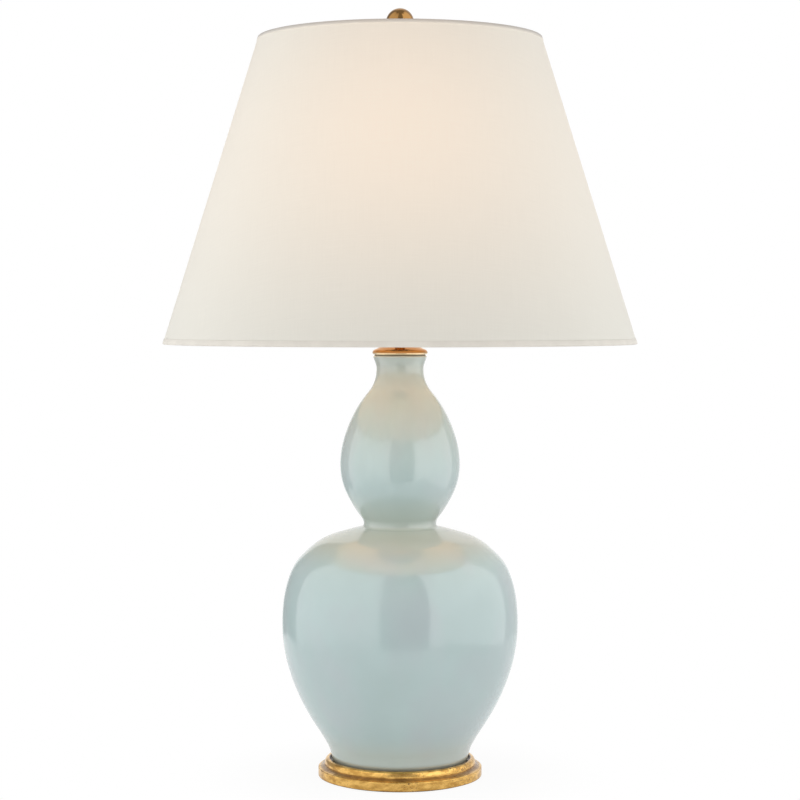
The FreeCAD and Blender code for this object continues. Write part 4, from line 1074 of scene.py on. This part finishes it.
class LAMP_OT_bulb(bpy.types.Operator):
    """Blows the bulb and rolls its screw cap."""
    bl_idname = "lamp.bulb"
    bl_label = "Bulb"

    def execute(self, context):
        sizes = context.scene.lamp_fittings
        wall = 0.0009
        radius = GLASS_HIGH.x
        throat = (0.0124, GLASS_LOW.z, 90)
        flare = (0.0146, GLASS_LOW.z + 0.012, 72)
        outside = [throat, flare, (radius, GLASS_HIGH.z - radius, 90)]
        inside = lined(outside, wall)
        outline = Trail(*throat[:2]).through(outside)
        outline.along((90, 0, GLASS_HIGH.z), (0, GLASS_HIGH.z - wall), (0, *inside[0][:2])).through(inside)
        piece("glass_envelope", outline.turned(sizes.small_steps), bulb_glass("Soft white glass"), "bulb",
              "bulb_glass", 60)
        self.screw_cap(sizes)
        return {"FINISHED"}

    def screw_cap(self, sizes):
        """A drawn cap with a rolled thread."""
        low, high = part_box("bulb_cap")
        root = sizes.screw_radius - 0.0008
        wall = 0.0006
        contact = 0.0046
        shoulder = 0.007
        slope = low.z + 0.003
        outline = Trail(contact, low.z).along(
            (shoulder, low.z), (root, slope), (root, high.z - 0.0030), (60, root + wall, high.z - 0.0015),
            (root + wall, high.z), (root - wall, high.z), (root - wall, slope + wall),
            (shoulder - wall, low.z + wall), (contact, low.z + wall))
        thread = helix(root, low.z + 0.0045, 0.0115, sizes.screw_pitch, 0.00078, FINE_STEPS, 10)
        piece("screw_cap", joined(outline.turned(sizes.small_steps), thread), drawn_aluminium(), "bulb",
              "bulb_cap", 50)


# ---- Shade ----
class Cone:
    """The shade's slant, from which its cloth, lining, rings and tapes are placed."""

    def __init__(self, sizes):
        self.sizes = sizes
        self.bottom = Vector((sizes.bottom_radius, 0, SHADE_TOP - sizes.height))
        self.top = Vector((sizes.top_radius, 0, SHADE_TOP))
        self.up = (self.top - self.bottom).normalized()
        self.out = Vector((self.up.z, 0, -self.up.x))
        self.sine = -self.up.x
        self.sheet = sizes.cloth + sizes.lining

    def at(self, from_edge, depth, at_top=False):
        """A point at a distance along the slant from an edge, and a depth inside the cloth's face."""
        edge = self.top if at_top else self.bottom
        along = -from_edge if at_top else from_edge
        point = edge + self.up * along - self.out * depth
        return point.x, point.z

    def strip(self, from_edge, face, back):
        """The outline of a sheet between two depths, which stops short of both edges."""
        outline = Trail(*self.at(from_edge, face)).line(*self.at(from_edge, face, True), SLANT_PARTS)
        return outline.line(*self.at(from_edge, back, True)).line(*self.at(from_edge, back), SLANT_PARTS)

    def ring_place(self, at_top):
        """The centre of a ring's wire."""
        clear = 0.00003
        return self.at(self.sizes.ring_inset, self.sheet + self.sizes.ring_radius + clear, at_top)

    def lay_flat(self, mesh):
        """Maps a rolled sheet onto the flat cloth that it was cut from, in metres."""
        layer = mesh.uv_layers.new(name="flat_cloth")
        for polygon in mesh.polygons:
            middle = math.atan2(polygon.center.x, -polygon.center.y)
            for index in polygon.loop_indices:
                place = mesh.vertices[mesh.loops[index].vertex_index].co
                angle = math.atan2(place.x, -place.y)
                angle -= FULL_TURN * round((angle - middle) / FULL_TURN)
                slant = math.hypot(place.x, place.y) / self.sine
                layer.data[index].uv = (slant * math.sin(angle * self.sine),
                                        -slant * math.cos(angle * self.sine))


class LAMP_OT_shade(bpy.types.Operator):
    """Rolls the shade's cloth and lining, and folds the tape over its edges."""
    bl_idname = "lamp.shade"
    bl_label = "Shade"

    def execute(self, context):
        sizes = context.scene.lamp_shade
        steps = context.scene.lamp_body.round_steps
        cone = Cone(sizes)
        cloth = piece("shade_cloth", cone.strip(0, 0, sizes.cloth).turned(steps),
                      shade_cloth("Shade cloth"), "shade", "shade_fabric")
        cone.lay_flat(cloth.data)
        piece("shade_lining", cone.strip(0, sizes.cloth, cone.sheet).turned(steps),
              styrene_lining("Styrene lining"), "shade", "shade_liner")
        trims = [self.tape(sizes, cone, steps, end) for end in ("top", "bottom")]
        trims.append(self.seam(sizes, cone))
        self.declare(cloth, cone, trims)
        return {"FINISHED"}

    def declare(self, cloth, cone, trims):
        """Takes the cloth, the cone and the trims and does nothing with them; the cloth's flat size is not
        declared.
        """

    def tape(self, sizes, cone, steps, end):
        """Tape folded over an edge and round the ring's wire."""
        at_top = end == "top"
        wire = sizes.ring_radius + 0.0001
        thick = sizes.tape
        low = sizes.ring_inset - wire
        high = sizes.ring_inset + wire
        sheet = cone.sheet
        deep = sheet + 2 * wire
        ease = 0.0009
        face = sizes.tape_face_top if at_top else sizes.tape_face
        tail = sizes.tape_tail
        places = [(face, 0), (face, -thick * 0.6), (face - 0.0004, -thick), (0.0002, -thick),
                  (-thick * 0.7, -thick * 0.7), (-thick, 0.0002), (-thick, sheet),
                  (low, deep - ease + thick * 0.7), (low + ease, deep + thick), (high - ease, deep + thick),
                  (high + thick, deep - ease), (high + thick, sheet + thick), (tail, sheet + thick),
                  (tail, sheet), (high, sheet), (high, deep - ease), (high - ease, deep),
                  (low + ease, deep), (low, deep - ease), (low, sheet), (0, sheet), (0, 0)]
        first, *others = [cone.at(*place, at_top) for place in places]
        return piece("shade_tape_" + end, Trail(*first).along(*others).turned(steps),
                     trim_cloth("Shade tape"), "shade", end + "_tape", 70)

    def seam(self, sizes, cone):
        """The strip over the cloth's joint, at the back."""
        reach = math.radians(3)
        half = sizes.seam_width / 2
        shape = rotated(cone.strip(sizes.tape_face, -sizes.tape, 0).closed(), QUARTER_TURN - reach, "Z")
        bmesh.ops.spin(shape, geom=shape.verts[:] + shape.edges[:], cent=ORIGIN, axis=UP, angle=2 * reach,
                       steps=12)
        for side in (-1, 1):
            everything = shape.verts[:] + shape.edges[:] + shape.faces[:]
            bmesh.ops.bisect_plane(shape, geom=everything, plane_co=(side * half, 0, 0),
                                   plane_no=(side, 0, 0), clear_outer=True)
        bmesh.ops.holes_fill(shape, edges=[edge for edge in shape.edges if edge.is_boundary], sides=0)
        return piece("shade_seam_strip", shape, trim_cloth("Shade tape"), "shade", "shade_seam",
                     50)


class LAMP_OT_shade_frame(bpy.types.Operator):
    """Bends and welds the shade's wires."""
    bl_idname = "lamp.shade_frame"
    bl_label = "Shade frame"

    def execute(self, context):
        steps = context.scene.lamp_body.round_steps
        fittings = context.scene.lamp_fittings
        cone = Cone(context.scene.lamp_shade)
        bottom, top = [self.ring(cone, fittings.wire_sides, steps, at_top) for at_top in (False, True)]
        arms = [self.arm(cone, fittings.wire_sides, index) for index in range(3)]
        coated = moulded("White coated wire", (0.80, 0.79, 0.75), 0.35, 500.0)
        piece("shade_ring_bottom", bottom, coated, "shade", "bottom_ring")
        piece("shade_spider", joined(top, self.hub(fittings), *arms), coated, "shade", "spider_frame",
              50)
        return {"FINISHED"}

    def ring(self, cone, sides, steps, at_top):
        """A ring of wire."""
        shape = bmesh.new()
        bmesh.ops.create_circle(shape, segments=sides, radius=cone.sizes.ring_radius,
                                matrix=upright_ring(*cone.ring_place(at_top)))
        return spun(shape, steps)

    def arm(self, cone, sides, index):
        """An arm that drops from the ring to the hub."""
        wire = cone.sizes.ring_radius
        ring, ring_z = cone.ring_place(True)
        weld = 0.00005
        arm_z = BOW_HIGH.z + HUB_THICKNESS + wire - weld
        path = Trail(ring, ring_z, wire, 180, sides).line(0.036, ring_z, 6)
        path.along((180, 0.014, arm_z, 180), (0.0084, arm_z))
        return rotated(path.capped(), math.radians(90 + 120 * index), "Z")

    def hub(self, fittings):
        """The washer that sits on the harp."""
        bore = fittings.stud_radius + SCREWED
        low = BOW_HIGH.z
        high = low + HUB_THICKNESS
        outer = 0.012
        ease = 0.0004
        outline = Trail(bore, low).along((outer, low, outer, high - ease, ease), (90, outer - ease, high),
                                         (bore, high))
        return outline.turned(fittings.small_steps)


class LAMP_OT_finial(bpy.types.Operator):
    """Turns the ball finial."""
    bl_idname = "lamp.finial"
    bl_label = "Finial"

    def execute(self, context):
        low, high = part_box("finial")
        bottom = low.z
        ball = high.x
        centre = high.z - ball
        bore = context.scene.lamp_fittings.stud_radius + SCREWED
        hole_top = bottom + 0.017
        collar = 0.007
        collar_top = bottom + 0.0025
        stem = 0.005
        stem_top = centre - math.sqrt(ball ** 2 - stem ** 2)
        outline = Trail(bore, bottom).along(
            (collar, bottom, collar, collar_top - 0.0008, 0.0005), (90, collar - 0.0009, collar_top),
            (stem + 0.0005, collar_top), (180, stem, collar_top + 0.0005),
            (100, 0.0042, (collar_top + stem_top) / 2, 90), (90, stem, stem_top - 0.0003, 70),
            (0, stem + 0.0004, stem_top + 0.0002), (22, ball, centre), (90, 0, high.z), (0, hole_top),
            (bore, hole_top))
        piece("ball_finial", outline.turned(96), brass("Waxed brass", 0.78, 0.12), "finial", "finial",
              60)
        return {"FINISHED"}


class LAMP_OT_inner_parts(bpy.types.Operator):
    """Finishes the small parts that stay as they are."""
    bl_idname = "lamp.inner_parts"
    bl_label = "Inner parts"

    def execute(self, context):
        finishes = {
            bare_metal("Zinc plate", (0.58, 0.59, 0.58), 0.32):
                ("bottom_washer", "bottom_nut", "threaded_pipe", "cap_set_screw", "switch_shaft"),
            fibrous("Pressed cork", (0.27, 0.17, 0.09), 700.0, 0.0004): ("foot_gasket", "lip_gasket"),
            brass("Bright brass", 1.6, 0.22): ("terminal_screws", "centre_contact"),
            moulded("Moulded insulator", (0.025, 0.022, 0.02), 0.4): ("insulator", "bulb_contact"),
            fibrous("Insulating paper", (0.30, 0.23, 0.15), 1200.0, 0.0002): ("paper_liner",),
            drawn_aluminium(): ("screw_shell",),
        }
        for material, nodes in finishes.items():
            for node in nodes:
                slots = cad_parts[node].data.materials
                slots.clear()
                slots.append(material)
        return {"FINISHED"}


# ---- Stage ----
class LAMP_OT_stage(bpy.types.Operator):
    """Sets the camera, the floor and the soft light."""
    bl_idname = "lamp.stage"
    bl_label = "Stage"

    def execute(self, context):
        studio = context.scene.lamp_studio
        scene = context.scene
        camera = bpy.data.cameras.new("camera")
        camera.lens = studio.lens
        camera.sensor_width = 36
        camera.shift_y = studio.rise
        eye = (0, -studio.camera_distance, studio.camera_height)
        scene.camera = self.stood("camera", camera, eye, (QUARTER_TURN, 0, 0))
        self.lights(studio)
        self.cards(studio)
        self.world(scene, studio)
        self.floor()
        scene.view_settings.view_transform = "Standard"
        return {"FINISHED"}

    def stood(self, name, data, place, turn):
        """A camera or a light, stood in its place."""
        obj = bpy.data.objects.new(name, data)
        obj.location = place
        obj.rotation_euler = turn
        bpy.context.scene.collection.objects.link(obj)
        return obj

    def lights(self, studio):
        """A tall soft box on each side, and broad warm fills before and behind that tip down."""
        tall = studio.panel_top - studio.panel_low
        middle = studio.panel_low + tall / 2
        beside = studio.panel_distance
        away, high = 2.8, 1.3
        tip = math.atan2(away, high - 0.4)
        broad = (2.4, 1.6)
        warm = (1.0, 0.97, 0.93)
        lights = {
            "panel_left": (studio.panel_light, WHITE, (tall, 3.1), (-beside, -0.95, middle),
                           (0, -QUARTER_TURN, 0)),
            "panel_right": (studio.panel_light * 0.94, WHITE, (tall, 2.2), (beside, -0.5, middle),
                            (0, QUARTER_TURN, 0)),
            "fill_front": (studio.fill_light, warm, broad, (0, -away, high), (tip, 0, 0)),
            "fill_rear": (studio.rear_light, warm, broad, (0, away, high), (tip, 0, math.pi)),
        }
        for name, (brightness, tint, (width, depth), place, turn) in lights.items():
            data = bpy.data.lights.new(name, "AREA")
            data.shape = "RECTANGLE"
            data.size = width
            data.size_y = depth
            data.energy = brightness * math.pi * width * depth
            data.color = tint
            light = self.stood(name, data, place, turn)
            light.visible_camera = False
            light.visible_glossy = False

    def cards(self, studio):
        """Screens and grey cards round the lamp and over it, for its glaze to reflect."""
        left, right, side, front = -0.184, 0.282, 0.60, -0.56
        right_end = (side, 0.28)
        cards = {
            "screen_left": ("Left screen", studio.screen, (left, front), (-side, front), (-side, 0.25)),
            "screen_right": ("Right screen", 1.25 * studio.screen, (right, front), (side, front),
                             right_end),
            "card_front": ("Grey card", studio.card, (left, front), (right, front)),
            "card_rear_left": ("Grey card", studio.card, (-side, 0.25), (-side, 0.60), (-0.35, 0.75)),
            "card_rear_right": ("Rear card", 1.9 * studio.card, right_end, (side, 0.60), (0.35, 0.75)),
        }
        for name, (paint, brightness, *corners) in cards.items():
            shape = bmesh.new()
            stands = [shape.verts.new((x, y, 0)) for x, y in corners]
            for start, end in zip(stands[:-1], stands[1:]):
                shape.edges.new((start, end))
            bmesh.ops.spin(shape, geom=stands + shape.edges[:], cent=ORIGIN, axis=UP, angle=0, steps=1,
                           dvec=(0, 0, studio.ceiling))
            self.reflected(name, shape, paint, brightness)
        overhead = bmesh.new()
        bmesh.ops.create_grid(overhead, x_segments=1, y_segments=1, size=0.6,
                              matrix=Matrix.Translation((0, 0, studio.ceiling)))
        self.reflected("card_ceiling", overhead, "Dark card", 0.45)

    def reflected(self, name, shape, paint, brightness):
        """Puts a card of one even grey in the scene, to be seen only in what reflects it."""
        material = bpy.data.materials.get(paint)
        if not material:
            material = bpy.data.materials.new(paint)
            bench = cleared(material)
            plain = bench.lay("Emission", WHITE, brightness)
            bench.lay("OutputMaterial", plain.outputs[0])
        card = placed(name, shape)
        card.data.materials.append(material)
        card.visible_camera = False
        card.visible_diffuse = False
        card.visible_shadow = False

    def world(self, scene, studio):
        """White where it is seen, in glass or in metal, and dimmer as a light."""
        scene.world = bpy.data.worlds.new("studio")
        bench = cleared(scene.world)
        path = bench.lay("LightPath").outputs
        seen = bench.most(path["Is Camera Ray"], path["Is Glossy Ray"], path["Is Transmission Ray"])
        dim = bench.lay("Background", WHITE, studio.ambient)
        white = bench.lay("Background", WHITE, 1.0)
        bench.mixed("OutputWorld", seen, dim, white)

    def floor(self):
        """A pale floor that keeps a soft shadow and runs out to white."""
        shape = bmesh.new()
        bmesh.ops.create_circle(shape, cap_ends=True, segments=96, radius=6.0)
        floor = placed("floor", shape)
        material = bpy.data.materials.new("Pale floor")
        bench = cleared(material)
        place = bench.place()
        away = bench.vectors("LENGTH", place)["Value"]
        aside = bench.sum("ABSOLUTE", bench.axes(place)[0])
        edge = bench.fade(away, 0.08, 0.22, 0.93, 1.0)
        sheen = bench.fade(aside, 0.03, 0.14, 0.50, 1.0)
        path = bench.lay("LightPath").outputs
        mirrored = bench.most(path["Is Glossy Ray"], path["Is Transmission Ray"])
        white = bench.most(bench.times(path["Is Camera Ray"], edge), bench.times(mirrored, sheen))
        paper = bench.lay("BsdfDiffuse", (0.9, 0.9, 0.9))
        bench.mixed("OutputMaterial", white, paper, bench.lay("Emission", WHITE, 1.0))
        floor.data.materials.append(material)


class LAMP_PT_panel(bpy.types.Panel):
    """Lists the lamp's operators and sizes."""
    bl_idname = "LAMP_PT_panel"
    bl_label = "Double Gourd Lamp"
    bl_space_type = "VIEW_3D"
    bl_region_type = "UI"
    bl_category = "Lamp"

    def draw(self, context):
        for operator in OPERATORS:
            self.layout.operator(operator.bl_idname)
        for name in GROUPS:
            group = getattr(context.scene, name)
            box = self.layout.box()
            for setting in type(group).__annotations__:
                box.prop(group, setting)


GROUPS = {
    "lamp_body": LampBodySizes,
    "lamp_fittings": LampFittingSizes,
    "lamp_shade": LampShadeSizes,
    "lamp_finishes": LampFinishes,
    "lamp_studio": LampStudio,
}
OPERATORS = (LAMP_OT_stage, LAMP_OT_vase, LAMP_OT_base, LAMP_OT_felt, LAMP_OT_cap, LAMP_OT_harp,
             LAMP_OT_socket, LAMP_OT_bulb, LAMP_OT_shade, LAMP_OT_shade_frame, LAMP_OT_finial,
             LAMP_OT_inner_parts)
CLASSES = (*GROUPS.values(), *OPERATORS, LAMP_PT_panel)


def register():
    """Registers the lamp's classes and settings."""
    for lamp_class in CLASSES:
        bpy.utils.register_class(lamp_class)
    for name, group in GROUPS.items():
        setattr(bpy.types.Scene, name, PointerProperty(type=group))


def unregister():
    """Removes the lamp's classes and settings."""
    for name in GROUPS:
        delattr(bpy.types.Scene, name)
    for lamp_class in reversed(CLASSES):
        bpy.utils.unregister_class(lamp_class)


def main():
    """Builds the lamp."""
    register()
    for operator in OPERATORS:
        getattr(bpy.ops.lamp, operator.bl_idname.removeprefix("lamp."))()


if __name__ == "__main__":
    main()
